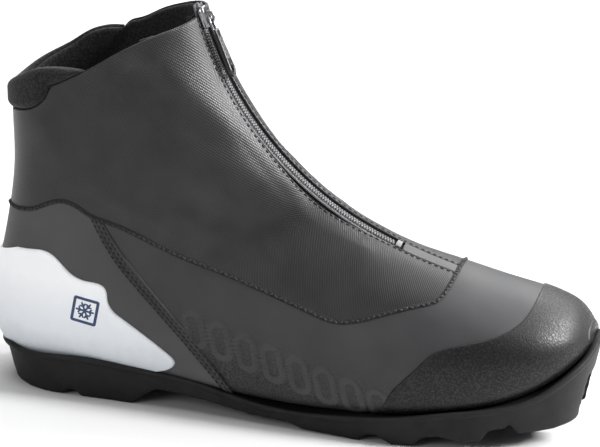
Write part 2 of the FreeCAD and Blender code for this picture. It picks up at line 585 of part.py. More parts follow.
# ---------------------------------------------------------------- inner sole
board_zone = side_cutter("board_zone", [BOARD_TOP, [(160, 63.6), (160, -20)],
                                        [(160, -20), (-160, -20)]])
lasting_board = combine("Common", "lasting_board", solids["panel_inner"], board_zone)
footbed_zone = side_cutter("footbed_zone", [FOOTBED_TOP, [(134, 43.5), (134, -20)],
                                            [(134, -20), (-152, -20)], [(-152, -20), (-152, 27)]])
footbed_blank = combine("Common", "footbed_blank", solids["lining_inner"], footbed_zone)
footbed = combine("Cut", "footbed", footbed_blank, board_zone)

# ------------------------------------------------------------------ the sole
# Plan of the rim: x, y, slope of the wall; the heel's rear wall slopes more.
LATERAL_RIM = [(-148.5, 0), (-145.5, -14), (-137, -25.5), (-122, -33.5), (-100, -37), (-75, -37.5),
               (-45, -38.5), (-10, -41.5), (25, -46), (58, -49.5), (88, -47), (112, -40.5),
               (131, -30), (142.5, -20), (149.3, -7), (151.8, 9)]
MEDIAL_RIM = [(149.3, 25), (142.5, 38), (131, 46), (112, 51), (88, 52), (58, 49), (25, 43),
              (-10, 38.5), (-45, 37), (-75, 36.5), (-100, 36), (-122, 32.5), (-137, 25),
              (-145.5, 14)]


def rim_height(x):
    """Height of the rim at one place along the boot."""
    for (x1, z1), (x2, z2) in zip(RIM, RIM[1:]):
        if x1 <= x <= x2:
            return z1 + (z2 - z1) * (x - x1) / (x2 - x1)
    return RIM[-1][1]


def wall_plan(label, height):
    """Plan of the sloped side wall at one height, as a closed smooth sketch."""
    rim = LATERAL_RIM + MEDIAL_RIM
    points = []
    for index, (x, y) in enumerate(rim):
        before, after = rim[index - 1], rim[(index + 1) % len(rim)]
        run = Vector(after[0] - before[0], after[1] - before[1], 0).normalize()
        outward = Vector(run.y, -run.x, 0)
        draft = size("heel_draft") if x < -135 else size("wall_draft")
        move = draft * (height - rim_height(x))
        points.append(Vector(x, y, 0) + outward * move)
    curve = Part.BSplineCurve()
    curve.interpolate(points, PeriodicFlag=True)
    sketch = doc.addObject("Sketcher::SketchObject", label)
    sketch.addGeometry(curve, False)
    sketch.Placement = Placement(Vector(0, 0, height), Rotation())
    return sketch


sole_blank = doc.addObject("Part::Loft", "sole_blank")
sole_blank.Sections = [wall_plan("plan_low", -2), wall_plan("plan_high", size("wall_height"))]
sole_blank.Solid = True
sole_blank.Ruled = True

FRAME_BASE = [(-160, 5), (-67, 5), (-60.5, 9.5), (-38, 7.6), (-13, 4), (8, 3), (14, 5), (40, 5.2),
              (60, 6), (80, 8.5), (95, 11), (105, 13.5), (114.5, 15.5), (118.5, 8.2), (142.5, 9.3),
              (160, 22)]
frame_profile = side_cutter("frame_profile", [
    RIM, [(160, 53), (160, 22)]] + polygon(FRAME_BASE[::-1]) + [[(-160, 5), (-158, 28)]])
frame_blank = combine("Common", "frame_blank", sole_blank, frame_profile)
frame_hollow = combine("Cut", "frame_hollow", frame_blank, solids["outer"])
frame_front = combine("Cut", "frame_front", frame_hollow, toe_cap)
frame_rear = combine("Cut", "frame_rear", frame_front, heel_counter)
frame_piped = combine("Cut", "frame_piped", frame_rear, piping_band)

bar_x, bar_y, bar_z = size("bar_x"), size("bar_y"), size("bar_z")
half_gap, bar_half = size("bar_gap") / 2, size("bar_length") / 2
recess = side_cutter("toe_recess", polygon([
    (131, 0), (135, 22), (137, 28.5), (142, 31), (170, 31), (170, 0), (131, 0)]),
    bar_y - half_gap, bar_y + half_gap)
INSERT_WALL = 5
insert_blank = box("insert_blank", (133.5, bar_y - half_gap - INSERT_WALL, bar_z - 5),
                   (144, bar_y + half_gap + INSERT_WALL, bar_z + 8))
insert_inside = combine("Common", "insert_inside", insert_blank, frame_piped)
toe_bar = doc.addObject("Part::Cylinder", "toe_bar")
toe_bar.setExpression("Radius", "sizes.bar_radius")
toe_bar.setExpression("Height", "sizes.bar_length")
toe_bar.Placement = Placement(Vector(bar_x, bar_y - bar_half, bar_z),
                              Rotation(Vector(1, 0, 0), -90))
insert_recessed = combine("Cut", "insert_recessed", insert_inside, recess)
bar_insert = combine("Cut", "bar_insert", insert_recessed, toe_bar)

SHANK_SLOPE = 2.1
groove_band = polygon([(-160, -5), (-160, 3.2), (30, 3.2), (62, 3.8), (80, 6), (96, 8.6),
                       (108, 13), (124, 12.4), (124, -5), (-160, -5)])
groove_half = size("groove_width") / 2
grooves = doc.addObject("Part::MultiFuse", "binding_grooves")
grooves.Shapes = [side_cutter("groove_" + side, groove_band,
                              sign * size("groove_centre") - groove_half,
                              sign * size("groove_centre") + groove_half)
                  for side, sign in (("lateral", -1), ("medial", 1))]

shank_plate = box("shank_plate", (-75, -14, 10.4), (-18, 14, 11.3))
shank_plate.Placement.Rotation = Rotation(Vector(0, 1, 0), SHANK_SLOPE)
heel_cushion = doc.addObject("Part::Cylinder", "heel_cushion")
heel_cushion.Radius = 18
heel_cushion.Height = 5
heel_cushion.Placement = Placement(Vector(-110, 0, 6.5), Rotation())

frame_tools = doc.addObject("Part::MultiFuse", "frame_tools")
frame_tools.Shapes = [recess, insert_blank, toe_bar, heel_cushion, shank_plate]
frame_cut = combine("Cut", "frame_cut", frame_piped, frame_tools)
outsole_frame = combine("Cut", "outsole_frame", frame_cut, grooves)

HEEL_LUGS = [(-160, 5), (-160, 0), (-108.5, 0), (-106, 3), (-101.8, 2.6), (-99.7, 0), (-72.5, 0),
             (-67, 5), (-160, 5)]
FOREFOOT_LUGS = [(8, 3), (14, 1), (21, 0.5), (37, 0), (44, 0), (47, 3.4), (52, 3.9), (60, 0),
                 (70.5, 0.4), (75, 5.3), (82.5, 6.3), (93, 3.6), (102.5, 5), (105.5, 10.4),
                 (113.5, 11.8), (114.5, 15.5), (105, 13.5), (95, 11), (80, 8.5), (60, 6), (40, 5.2),
                 (14, 5), (8, 3)]
for label, outline in (("heel_tread", HEEL_LUGS), ("forefoot_tread", FOREFOOT_LUGS)):
    lugs = side_cutter(label + "_lugs", polygon(outline))
    blank = combine("Common", label + "_blank", sole_blank, lugs)
    combine("Cut", label, blank, grooves)

# -------------------------------------------------------------------- output
NODES = [
    "outsole_frame", "heel_tread", "forefoot_tread", "toe_bar", "bar_insert", "shank_plate",
    "heel_cushion", "lasting_board", "footbed", "toe_cap", "toe_puff", "vamp", "quarter_lateral",
    "quarter_medial", "rear_quarter", "quarter_piping_lateral", "quarter_piping_medial",
    "heel_counter", "internal_counter", "insulation_layer", "ankle_shell_lateral",
    "ankle_shell_medial", "placket", "collar_cuff", "shaft_lining", "heel_lining",
    "forefoot_lining", "tongue", "eyestay_lateral", "eyestay_medial", "eyelets", "zip_guard",
    "zip_tape_lateral", "zip_tape_medial", "zip_coil_lateral", "zip_coil_medial",
    "zip_top_stops", "zip_bottom_stop", "zip_slider", "zip_pull_link", "zip_pull_grip",
]
doc.recompute()
for item in doc.Objects:
    if "Invalid" in item.State or "Error" in item.State:
        raise SystemExit("failed: %s %s" % (item.Label, item.State))
os.makedirs("parts", exist_ok=True)
for node in NODES:
    shape = doc.getObject(node).Shape
    if shape.isNull() or not shape.isValid() or shape.Volume <= 0:
        raise SystemExit("bad shape: " + node)
    shape.exportStep("parts/%s.step" % node)
    print(node, len(shape.Solids), round(shape.Volume))
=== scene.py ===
"""Looks of a cross country ski boot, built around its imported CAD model.

Every upper panel is cut out of one smooth surface. Lengths are in millimetres until a mesh is made.
"""
import json
import math

import bmesh
import bpy
import numpy as np
from mathutils import Matrix, Vector


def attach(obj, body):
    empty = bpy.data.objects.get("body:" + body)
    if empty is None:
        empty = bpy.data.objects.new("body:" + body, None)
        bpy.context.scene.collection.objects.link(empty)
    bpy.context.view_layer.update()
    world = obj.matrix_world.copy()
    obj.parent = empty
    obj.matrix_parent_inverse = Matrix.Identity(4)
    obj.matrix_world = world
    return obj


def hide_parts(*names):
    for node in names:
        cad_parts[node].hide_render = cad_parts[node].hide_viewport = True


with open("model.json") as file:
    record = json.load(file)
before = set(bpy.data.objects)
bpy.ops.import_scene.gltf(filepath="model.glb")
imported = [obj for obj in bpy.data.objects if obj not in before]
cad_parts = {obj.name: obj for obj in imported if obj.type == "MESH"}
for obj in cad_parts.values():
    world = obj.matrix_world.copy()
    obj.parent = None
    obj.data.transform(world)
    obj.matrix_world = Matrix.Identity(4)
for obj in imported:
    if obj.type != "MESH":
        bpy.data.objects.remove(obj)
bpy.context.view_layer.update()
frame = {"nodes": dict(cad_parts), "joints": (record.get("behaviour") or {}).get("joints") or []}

MM = 0.001
FAR = 60.0
NODES = frame["nodes"]
ZIP_JOINT, PULL_JOINT = frame["joints"][0]["pos_m"], frame["joints"][1]["pos_m"]

# ---- camera
AZIMUTH, ELEVATION, ROLL = (math.radians(angle) for angle in (12.0, 17.0, 2.8))
DISTANCE, TARGET = 1.6, Vector((0, 0, 0.0912))
SENSOR, FRAME_WIDTH, METRES_PER_PIXEL = 36.0, 600, 0.00049


def add_camera():
    """Camera at the viewing angle of a catalogue picture, seen from the outer side."""
    sin_a, cos_a = math.sin(AZIMUTH), math.cos(AZIMUTH)
    sin_e, cos_e = math.sin(ELEVATION), math.cos(ELEVATION)
    back = Vector((sin_a * cos_e, -cos_a * cos_e, sin_e))
    right, up = Vector((cos_a, sin_a, 0)), Vector((-sin_a * sin_e, cos_a * sin_e, cos_e))
    turned_right = right * math.cos(ROLL) + up * math.sin(ROLL)
    turned_up = up * math.cos(ROLL) - right * math.sin(ROLL)
    data = bpy.data.cameras.new("camera")
    data.sensor_width = SENSOR
    data.lens = DISTANCE / METRES_PER_PIXEL * SENSOR / FRAME_WIDTH
    data.clip_start, data.clip_end = 0.05, 20
    camera = bpy.data.objects.new("camera", data)
    camera.matrix_world = Matrix.Translation(TARGET + back * DISTANCE) @ Matrix(
        (turned_right, turned_up, back)).transposed().to_4x4()
    bpy.context.scene.collection.objects.link(camera)
    bpy.context.scene.camera = camera


# ---- the surface
CENTRE = np.array([ZIP_JOINT[0], ZIP_JOINT[2]]) / MM
ZIP_Y = ZIP_JOINT[1] / MM
ZIP_RADIUS = 169.5
ZIP_TOP, ZIP_BOTTOM = 197.1, 250.0
SLOT_HALF = 4.2
COVER = 1.6


def on_track(angle, radius):
    """(x, z) at an angle in degrees about the centre of the zip's track."""
    turn = math.radians(angle)
    return CENTRE[0] + radius * math.cos(turn), CENTRE[1] + radius * math.sin(turn)


def ridge(angle):
    return on_track(angle, ZIP_RADIUS - 2.2)


# front or top point, back or bottom point, half width, sideways shift,
# height of the widest place, fullness above it, fullness below it
STATIONS = [
    ((-59, 223), (-149, 178), 37, 0, 0.50, 2.0, 2.2),
    (ridge(195), (-147.5, 153), 37.5, 0, 0.50, 2.0, 2.2),
    (ridge(201), (-146.5, 132), 38, 0, 0.50, 2.0, 2.2),
    (ridge(208), (-144.7, 113), 39, 0, 0.50, 2.0, 2.2),
    (ridge(215), (-146, 95), 40, 0, 0.50, 2.0, 2.2),
    (ridge(222), (-148.6, 75), 40, 0, 0.48, 2.0, 2.2),
    (ridge(228), (-153, 54), 38.5, 0, 0.47, 2.0, 2.2),
    (ridge(232.5), (-153.5, 31), 37, 0, 0.45, 2.0, 2.3),
    (ridge(236), (-148, 14), 36.5, 0, 0.42, 2.0, 2.6),
    (ridge(239.5), (-123, 11.5), 36.5, 0, 0.38, 2.05, 3.6),
    (ridge(243.5), (-80, 12), 37.5, -0.5, 0.33, 2.1, 4.2),
    (ridge(248), (-35, 10.5), 40.5, -1.5, 0.28, 2.15, 4.4),
    ((60, 85.6), (15, 8), 45.5, -1, 0.26, 2.2, 4.4),
    ((80, 80.2), (60, 10), 49, 0.5, 0.28, 2.25, 4.2),
    ((101, 73), (96, 16), 48.5, 3, 0.30, 2.3, 4.0),
    ((119, 68.8), (120, 24), 43.5, 6, 0.33, 2.3, 3.6),
    ((131, 64.6), (134, 32.5), 36, 8, 0.36, 2.3, 3.2),
    ((139.5, 60.5), (143, 40), 26.5, 9.5, 0.40, 2.3, 3.0),
    ((144.5, 53.5), (147, 46), 14, 10, 0.45, 2.2, 2.6),
]
ROUND, ALONG = 28, len(STATIONS)
SPANS = ALONG - 3


def section_poles(front, back, half, shift, widest, above, below):
    """Poles of one oval section of the upper."""
    top, base = np.array(front, float), np.array(back, float)
    height = np.linalg.norm(top - base)
    axis = (top - base) / height
    middle = base + axis * height * widest
    angle = 2 * np.pi * np.arange(ROUND) / ROUND
    up, out = np.cos(angle), np.sin(angle)
    power = 2 / np.where(up > 0, above, below)
    reach = height * np.where(up > 0, 1 - widest, widest)
    rise = np.sign(up) * np.abs(up) ** power * reach
    side = np.sign(out) * np.abs(out) ** power * half
    return np.stack([middle[0] + axis[0] * rise, shift + side, middle[1] + axis[1] * rise], 1)


POLES = np.stack([section_poles(*station) for station in STATIONS], 1)


def round_weights(u):
    """Weights of the poles round a section at places u, and how fast they change."""
    cell = np.floor(u).astype(int)
    t = u - cell
    values = [(1 - t) ** 3 / 6, (3 * t ** 3 - 6 * t ** 2 + 4) / 6,
              (-3 * t ** 3 + 3 * t ** 2 + 3 * t + 1) / 6, t ** 3 / 6]
    rates = [-(1 - t) ** 2 / 2, (3 * t ** 2 - 4 * t) / 2, (-3 * t ** 2 + 2 * t + 1) / 2, t ** 2 / 2]
    weight, rate = np.zeros((len(u), ROUND)), np.zeros((len(u), ROUND))
    row = np.arange(len(u))
    for step in range(4):
        weight[row, (cell + step - 1) % ROUND] = values[step]
        rate[row, (cell + step - 1) % ROUND] = rates[step]
    return weight, rate


def along_weights(v):
    """Weights of the sections at places v from collar to toe, and how fast they change."""
    knots = np.clip(np.arange(-3.0, SPANS + 4), 0, SPANS)
    v = np.clip(v, 0, SPANS - 1e-9)[:, None]
    weight = ((v >= knots[:-1]) & (v < knots[1:])).astype(float)
    for degree in (1, 2, 3):
        lower, gaps = weight, knots[degree:] - knots[:-degree]
        gaps = np.where(gaps > 0, gaps, 1)
        weight = (lower[:, :-1] * (v - knots[:-degree - 1]) / gaps[:-1]
                  + lower[:, 1:] * (knots[degree + 1:] - v) / gaps[1:])
    return weight, 3 * (lower[:, :-1] / gaps[:-1] - lower[:, 1:] / gaps[1:])


# Height of the dome that closes the toe, and how far round it the panels go.
TIP_BULGE, TIP_END = 1.5, 0.985


def upper_surface(uv):
    """Points and outward normals of the upper at places (u, v). Past its end is a shallow dome."""
    weight_u, rate_u = round_weights(uv[:, 0])
    weight_v, rate_v = along_weights(uv[:, 1])
    flat = POLES.reshape(ROUND, -1)
    rows = (weight_u @ flat).reshape(-1, ALONG, 3)
    slopes = (rate_u @ flat).reshape(-1, ALONG, 3)
    points = np.einsum("nj,njk->nk", weight_v, rows)
    normals = np.cross(np.einsum("nj,njk->nk", rate_v, rows),
                       np.einsum("nj,njk->nk", weight_v, slopes))
    normals /= np.maximum(np.linalg.norm(normals, axis=1), 1e-9)[:, None]
    past = uv[:, 1] > SPANS
    if past.any():
        centre = POLES[:, -1].mean(0)
        ahead = unit(centre - POLES[:, -2].mean(0))
        turn = (uv[past, 1] - SPANS)[:, None] * np.pi / 2
        points[past] = (centre + (points[past] - centre) * np.cos(turn)
                        + ahead * TIP_BULGE * np.sin(turn))
        normals[past] = unit(normals[past] * np.cos(turn) + ahead * np.sin(turn))
    return points, normals


def zip_surface(uv):
    """Points and outward normals of the zip's track at (angle in degrees, sideways offset)."""
    turn = np.radians(uv[:, 0])
    inward = np.stack([np.cos(turn), 0 * turn, np.sin(turn)], 1)
    points = inward * ZIP_RADIUS + np.array([CENTRE[0], ZIP_Y, CENTRE[1]])
    points[:, 1] += uv[:, 1]
    return points, -inward


def flat_surface(uv):
    """A plane, for plates that are shaped flat and placed afterwards."""
    points = np.column_stack([uv, np.zeros(len(uv))])
    return points, np.tile([0.0, 0.0, 1.0], (len(uv), 1))


# ---- curves
def unit(vectors):
    """Vectors brought to length 1."""
    return vectors / np.linalg.norm(vectors, axis=-1, keepdims=True)


def smooth(points, step=2.0):
    """A smooth curve through points, as a fine line."""
    knots = np.array(points, float)
    gaps = np.linalg.norm(np.diff(knots, axis=0), axis=1)
    place = np.concatenate([[0], np.cumsum(gaps)])
    count = len(knots)
    matrix, target = np.eye(count), np.zeros((count, knots.shape[1]))
    slopes = np.diff(knots, axis=0) / gaps[:, None]
    for i in range(1, count - 1):
        matrix[i, i - 1:i + 2] = gaps[i - 1], 2 * (gaps[i - 1] + gaps[i]), gaps[i]
        target[i] = 6 * (slopes[i] - slopes[i - 1])
    bend = np.linalg.solve(matrix, target)
    at = np.linspace(0, place[-1], max(int(place[-1] / step), 2) + 1)
    cell = np.clip(np.searchsorted(place, at, side="right") - 1, 0, count - 2)
    width, a = gaps[cell][:, None], (at - place[cell])[:, None]
    b = width - a
    return (bend[cell] * b ** 3 / (6 * width) + bend[cell + 1] * a ** 3 / (6 * width)
            + (knots[cell] / width - bend[cell] * width / 6) * b
            + (knots[cell + 1] / width - bend[cell + 1] * width / 6) * a)


def cornered(points, radius):
    """Straight runs between points, with rounded corners, as a fine line."""
    knots = np.array(points, float)
    line = [knots[:1]]
    share = np.linspace(0, 1, 7)[:, None]
    for before, corner, after in zip(knots, knots[1:], knots[2:]):
        ends = []
        for other in (before, after):
            run = other - corner
            length = np.linalg.norm(run)
            ends.append(corner + run / length * min(radius, 0.45 * length))
        line.append((1 - share) ** 2 * ends[0] + 2 * share * (1 - share) * corner
                    + share ** 2 * ends[1])
    return np.concatenate(line + [knots[-1:]])


def closed_smooth(points, step=1.0):
    """A smooth closed curve through points."""
    extra = 4
    line = smooth(points[-extra:] + points + points[:extra], step)

    def nearest(target, first, last):
        return first + np.linalg.norm(line[first:last] - np.array(target), axis=1).argmin()

    half = len(line) // 2
    return line[nearest(points[0], 0, half):nearest(points[0], half, len(line))]


BATCH, STEEPEST = 8000, 0.09


def slope(tilt):
    """Share of a distance over the surface that is seen, where its normal leans this much."""
    return np.sqrt(np.maximum(1 - tilt ** 2, STEEPEST))


def side_distance(points, normals, line):
    """Distance over the surface from a line that is seen from the side, positive on its left."""
    flat, line = points[:, [0, 2]].astype(np.float32), line.astype(np.float32)
    starts, runs = line[:-1], np.diff(line, axis=0)
    length = (runs ** 2).sum(1)
    result = np.empty(len(flat))
    for first in range(0, len(flat), BATCH):
        part = flat[first:first + BATCH]
        rel = part[:, None] - starts[None]
        share = np.clip((rel * runs).sum(2) / length, 0, 1)
        off = rel - share[..., None] * runs
        gap = (off ** 2).sum(2)
        near = gap.argmin(1)
        row = np.arange(len(part))
        run, rel = runs[near], rel[row, near]
        side = np.sign(run[:, 0] * rel[:, 1] - run[:, 1] * rel[:, 0])
        across = np.stack([-run[:, 1], run[:, 0]], 1) / np.sqrt(length[near])[:, None]
        normal = normals[first:first + BATCH]
        tilt = normal[:, 0] * across[:, 0] + normal[:, 2] * across[:, 1]
        result[first:first + BATCH] = side * np.sqrt(gap[row, near]) / slope(tilt)
    return result


# A field is a function of points, their normals and their places (u, v) on the surface.
def left_of(line):
    return lambda points, normals, uv: side_distance(points, normals, line)


def right_of(line):
    return lambda *at: -left_of(line)(*at)


def before_y(y):
    """Positive on the outer side of one value of y."""
    return lambda points, normals, uv: (y - points[:, 1]) / slope(normals[:, 1])


def beyond_y(y):
    return lambda *at: -before_y(y)(*at)


def on_half(field, sign):
    """The field on the front (1) or back (-1) half of the upper, and far inside elsewhere."""
    return lambda *at: np.where(sign * np.cos(2 * np.pi * at[2][:, 0] / ROUND) > 0, field(*at), FAR)


def all_of(*fields):
    return lambda *at: np.minimum.reduce([field(*at) for field in fields])


def any_of(*fields):
    return lambda *at: np.maximum.reduce([field(*at) for field in fields])


def band(field, low, high):
    """Positive where the field is between two values, and largest half way."""
    return lambda *at: (high - low) / 2 - np.abs(field(*at) - (low + high) / 2)


# ---- patches
SNAP, TOUCH, SHORTEST_CHAIN = 0.04, 1e-6, 6


class Patch:
    """Part of a surface: places (u, v) on it, triangles between them, and named fields."""

    def __init__(self, surface, us, vs):
        self.surface = surface
        self.uv = np.stack(np.meshgrid(us, vs, indexing="ij"), -1).reshape(-1, 2)
        wide = len(vs)
        corner = (np.arange(len(us) - 1)[:, None] * wide + np.arange(wide - 1)).ravel()
        a, b, c, d = corner, corner + wide, corner + wide + 1, corner + 1
        self.faces = np.concatenate([np.stack([a, b, c], 1), np.stack([a, c, d], 1)])
        self.points, self.normals = surface(self.uv)
        first = self.points[self.faces]
        facing = np.cross(first[:, 1] - first[:, 0], first[:, 2] - first[:, 0])
        if (facing * self.normals[self.faces[:, 0]]).sum() < 0:
            self.faces = self.faces[:, ::-1]
        self.fields, self.values = {}, {}

    def add(self, name, field):
        """A named field, worked out at every place."""
        self.fields[name] = field
        self.values[name] = field(self.points, self.normals, self.uv)
        return self

    def cut(self, name, *levels):
        """Puts an edge along each line where the field has one of these values."""
        for level in levels:
            self.cut_once(name, level)
        return self

    def cut_once(self, name, level):
        value = self.values[name] - level
        value[np.abs(value) < SNAP] = 0
        self.values[name] = value + level
        sign = np.sign(value)
        signs = sign[self.faces]
        crossed = (signs.min(1) < 0) & (signs.max(1) > 0)
        work, whole = self.faces[crossed], self.faces[~crossed]
        if not len(work):
            return
        edges = np.sort(sides_of(work), 1)
        edges = np.unique(edges[sign[edges[:, 0]] * sign[edges[:, 1]] < 0], axis=0)
        uv = self.crossings(name, level, edges, value)
        points, normals = self.surface(uv)
        count = len(self.uv)
        keys = edges[:, 0] * count + edges[:, 1]

        def middle(a, b):
            key = np.minimum(a, b) * count + np.maximum(a, b)
            return count + np.searchsorted(keys, key)

        signs = signs[crossed]
        has_zero = (signs == 0).any(1)
        pieces = [whole]
        tri, mark = work[has_zero], signs[has_zero]
        if len(tri):
            tri = roll(tri, (mark == 0).argmax(1))
            mid = middle(tri[:, 1], tri[:, 2])
            pieces += [np.stack([tri[:, 0], tri[:, 1], mid], 1),
                       np.stack([tri[:, 0], mid, tri[:, 2]], 1)]
        tri, mark = work[~has_zero], signs[~has_zero]
        if len(tri):
            lone = np.where(mark.sum(1) > 0, -1, 1)
            tri = roll(tri, (mark == lone[:, None]).argmax(1))
            first, second = middle(tri[:, 0], tri[:, 1]), middle(tri[:, 0], tri[:, 2])
            pieces += [np.stack([tri[:, 0], first, second], 1),
                       np.stack([first, tri[:, 1], tri[:, 2]], 1),
                       np.stack([first, tri[:, 2], second], 1)]
        self.faces = np.concatenate(pieces)
        self.uv = np.concatenate([self.uv, uv])
        self.points = np.concatenate([self.points, points])
        self.normals = np.concatenate([self.normals, normals])
        for other, field in self.fields.items():
            fresh = np.full(len(uv), level) if other == name else field(points, normals, uv)
            self.values[other] = np.concatenate([self.values[other], fresh])

    def crossings(self, name, level, edges, value):
        """Places on the edges where the field has the value, found by narrowing down."""
        start, run = self.uv[edges[:, 0]], self.uv[edges[:, 1]] - self.uv[edges[:, 0]]
        low, high = np.zeros(len(edges)), np.ones(len(edges))
        at_low, at_high = value[edges[:, 0]], value[edges[:, 1]]
        for _ in range(4):
            share = low + (high - low) * at_low / (at_low - at_high)
            uv = start + run * share[:, None]
            found = self.fields[name](*self.surface(uv), uv) - level
            same = found * at_low > 0
            low, at_low = np.where(same, share, low), np.where(same, found, at_low)
            high, at_high = np.where(same, high, share), np.where(same, at_high, found)
            at_high = np.where(at_high == at_low, at_high + 1e-9, at_high)
        return uv

    def keep(self, name, level):
        """Keeps the triangles that reach above one value of the field."""
        self.faces = self.faces[self.values[name][self.faces].max(1) > level]
        used, faces = np.unique(self.faces, return_inverse=True)
        self.faces = faces.reshape(-1, 3)
        self.uv, self.points, self.normals = self.uv[used], self.points[used], self.normals[used]
        self.values = {name: value[used] for name, value in self.values.items()}
        return self

    def trim(self, name, *levels):
        """Keeps where the field is positive, with edges at its border and at each value."""
        return self.keep(name, -2 * SNAP).cut(name, 0.0).keep(name, TOUCH).cut(name, *levels)

    def lines(self, name, level):
        """Chains of places that lie on one value of the field."""
        on = np.abs(self.values[name] - level) < TOUCH
        edges = np.sort(sides_of(self.faces), 1)
        return chains(np.unique(edges[on[edges].all(1)], axis=0))


def sides_of(triangles):
    """The three directed sides of each triangle."""
    return np.concatenate([triangles[:, pair] for pair in ([0, 1], [1, 2], [2, 0])])


def roll(triangles, first):
    """Each triangle turned so that one of its corners comes first."""
    return np.take_along_axis(triangles, (first[:, None] + np.arange(3)) % 3, 1)


def chains(edges):
    """Edges joined end to end into lines."""
    links = {}
    for a, b in edges.tolist():
        links.setdefault(a, []).append(b)
        links.setdefault(b, []).append(a)
    left, found = set(map(tuple, edges.tolist())), []
    starts = sorted(links, key=lambda point: (len(links[point]) == 2, point))
    for start in starts:
        while True:
            line, here = [start], start
            while True:
                step = [n for n in links[here] if (min(n, here), max(n, here)) in left]
                if not step:
                    break
                left.discard((min(step[0], here), max(step[0], here)))
                here = step[0]
                line.append(here)
            if len(line) < 2:
                break
            found.append(line)
    return [np.array(line) for line in found if len(line) >= SHORTEST_CHAIN]


def rounded(distance, radius, drop):
    """Height near an edge that is rounded over: minus drop at the edge, 0 from the radius in."""
    return -drop * (1 - swell(distance, radius))


def swell(distance, radius):
    """A quarter circle's rise: 0 at the edge, 1 from the radius in."""
    return np.sqrt(np.maximum(1 - (1 - np.clip(distance / radius, 0, 1)) ** 2, 0))


def ring_levels(radius):
    return [radius * share for share in (0.06, 0.25, 0.55, 1.0)]


# ---- meshes
def add_mesh(name, points, faces, material, cloth=None, sharp=50):
    """An object made of points in millimetres."""
    mesh = bpy.data.meshes.new(name)
    mesh.from_pydata((np.asarray(points) * MM).tolist(), [], faces)
    if cloth is not None:
        layer = mesh.uv_layers.new(name="cloth")
        corner = np.empty(len(mesh.loops), int)
        mesh.loops.foreach_get("vertex_index", corner)
        layer.data.foreach_set("uv", (cloth[corner] * MM).ravel())
    mesh.polygons.foreach_set("use_smooth", [True] * len(mesh.polygons))
    mesh.set_sharp_from_angle(angle=math.radians(sharp))
    mesh.materials.append(material)
    mesh.validate()
    piece = bpy.data.objects.new(name, mesh)
    bpy.context.scene.collection.objects.link(piece)
    return piece


def finish_piece(piece, nodes=(), body="boot"):
    if nodes:
        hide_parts(*nodes)
    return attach(piece, body)


def cloth_uv(patch):
    """Places in the flat cloth: girth and length over the upper, in millimetres."""
    if patch.surface is zip_surface:
        return np.column_stack([np.radians(patch.uv[:, 0]) * ZIP_RADIUS, patch.uv[:, 1]])
    if patch.surface is not upper_surface:
        return patch.uv
    girth, _ = table_values(patch.uv)
    middle = np.where(patch.uv[:, 0] > ROUND / 2, SIDE_LATERAL, SIDE_MEDIAL)
    at_middle, length = table_values(np.column_stack([middle, patch.uv[:, 1]]))
    return np.column_stack([girth - at_middle, length])


def table_values(uv):
    """Distances round and along the upper at places (u, v)."""
    u, v = uv[:, 0] - GIRTH_START, uv[:, 1]
    i = np.clip((u / GRID_STEP).astype(int), 0, GIRTH.shape[0] - 2)
    j = np.clip((v / GRID_STEP).astype(int), 0, GIRTH.shape[1] - 2)
    a, b = (u / GRID_STEP - i)[:, None], (v / GRID_STEP - j)[:, None]
    table = np.stack([GIRTH, LENGTH], -1)
    return ((table[i, j] * (1 - a) + table[i + 1, j] * a) * (1 - b)
            + (table[i, j + 1] * (1 - a) + table[i + 1, j + 1] * a) * b).T


GIRTH_START, GRID_STEP = -ROUND / 2, 0.25
SIDE_MEDIAL, SIDE_LATERAL = ROUND * 0.25, ROUND * 0.75


def cloth_tables():
    """Distances round and along the upper at regular places."""
    us = np.arange(GIRTH_START, ROUND + 1e-6, GRID_STEP)
    vs = np.arange(0, SPANS + 1e-6, GRID_STEP)
    uv = np.stack(np.meshgrid(us, vs, indexing="ij"), -1).reshape(-1, 2)
    points = upper_surface(uv)[0].reshape(len(us), len(vs), 3)
    girth, length = np.zeros(points.shape[:2]), np.zeros(points.shape[:2])
    girth[1:] = np.cumsum(np.linalg.norm(np.diff(points, axis=0), axis=2), 0)
    length[:, 1:] = np.cumsum(np.linalg.norm(np.diff(points, axis=1), axis=2), 1)
    return girth, length


GIRTH, LENGTH = cloth_tables()


def shell(name, patch, top, bottom, material, place=None, sharp=50):
    """A closed piece between two heights over a patch, moved to a place (origin, axes)."""
    count = len(patch.points)
    outer = patch.points + patch.normals * np.broadcast_to(top, count)[:, None]
    inner = patch.points + patch.normals * np.broadcast_to(bottom, count)[:, None]
    faces = patch.faces
    directed = sides_of(faces)
    keys = directed[:, 0] * count + directed[:, 1]
    border = directed[~np.isin(directed[:, 1] * count + directed[:, 0], keys)]
    rim = np.stack([border[:, 1], border[:, 0], border[:, 0] + count, border[:, 1] + count], 1)
    points = np.concatenate([outer, inner])
    if place is not None:
        origin, axes = place
        points = points @ axes.T + origin
    every = faces.tolist() + (faces[:, ::-1] + count).tolist() + rim.tolist()
    return add_mesh(name, points, every, material, np.tile(cloth_uv(patch), (2, 1)), sharp)


ROD_FULLNESS, ROD_TIP = 5, 0.05


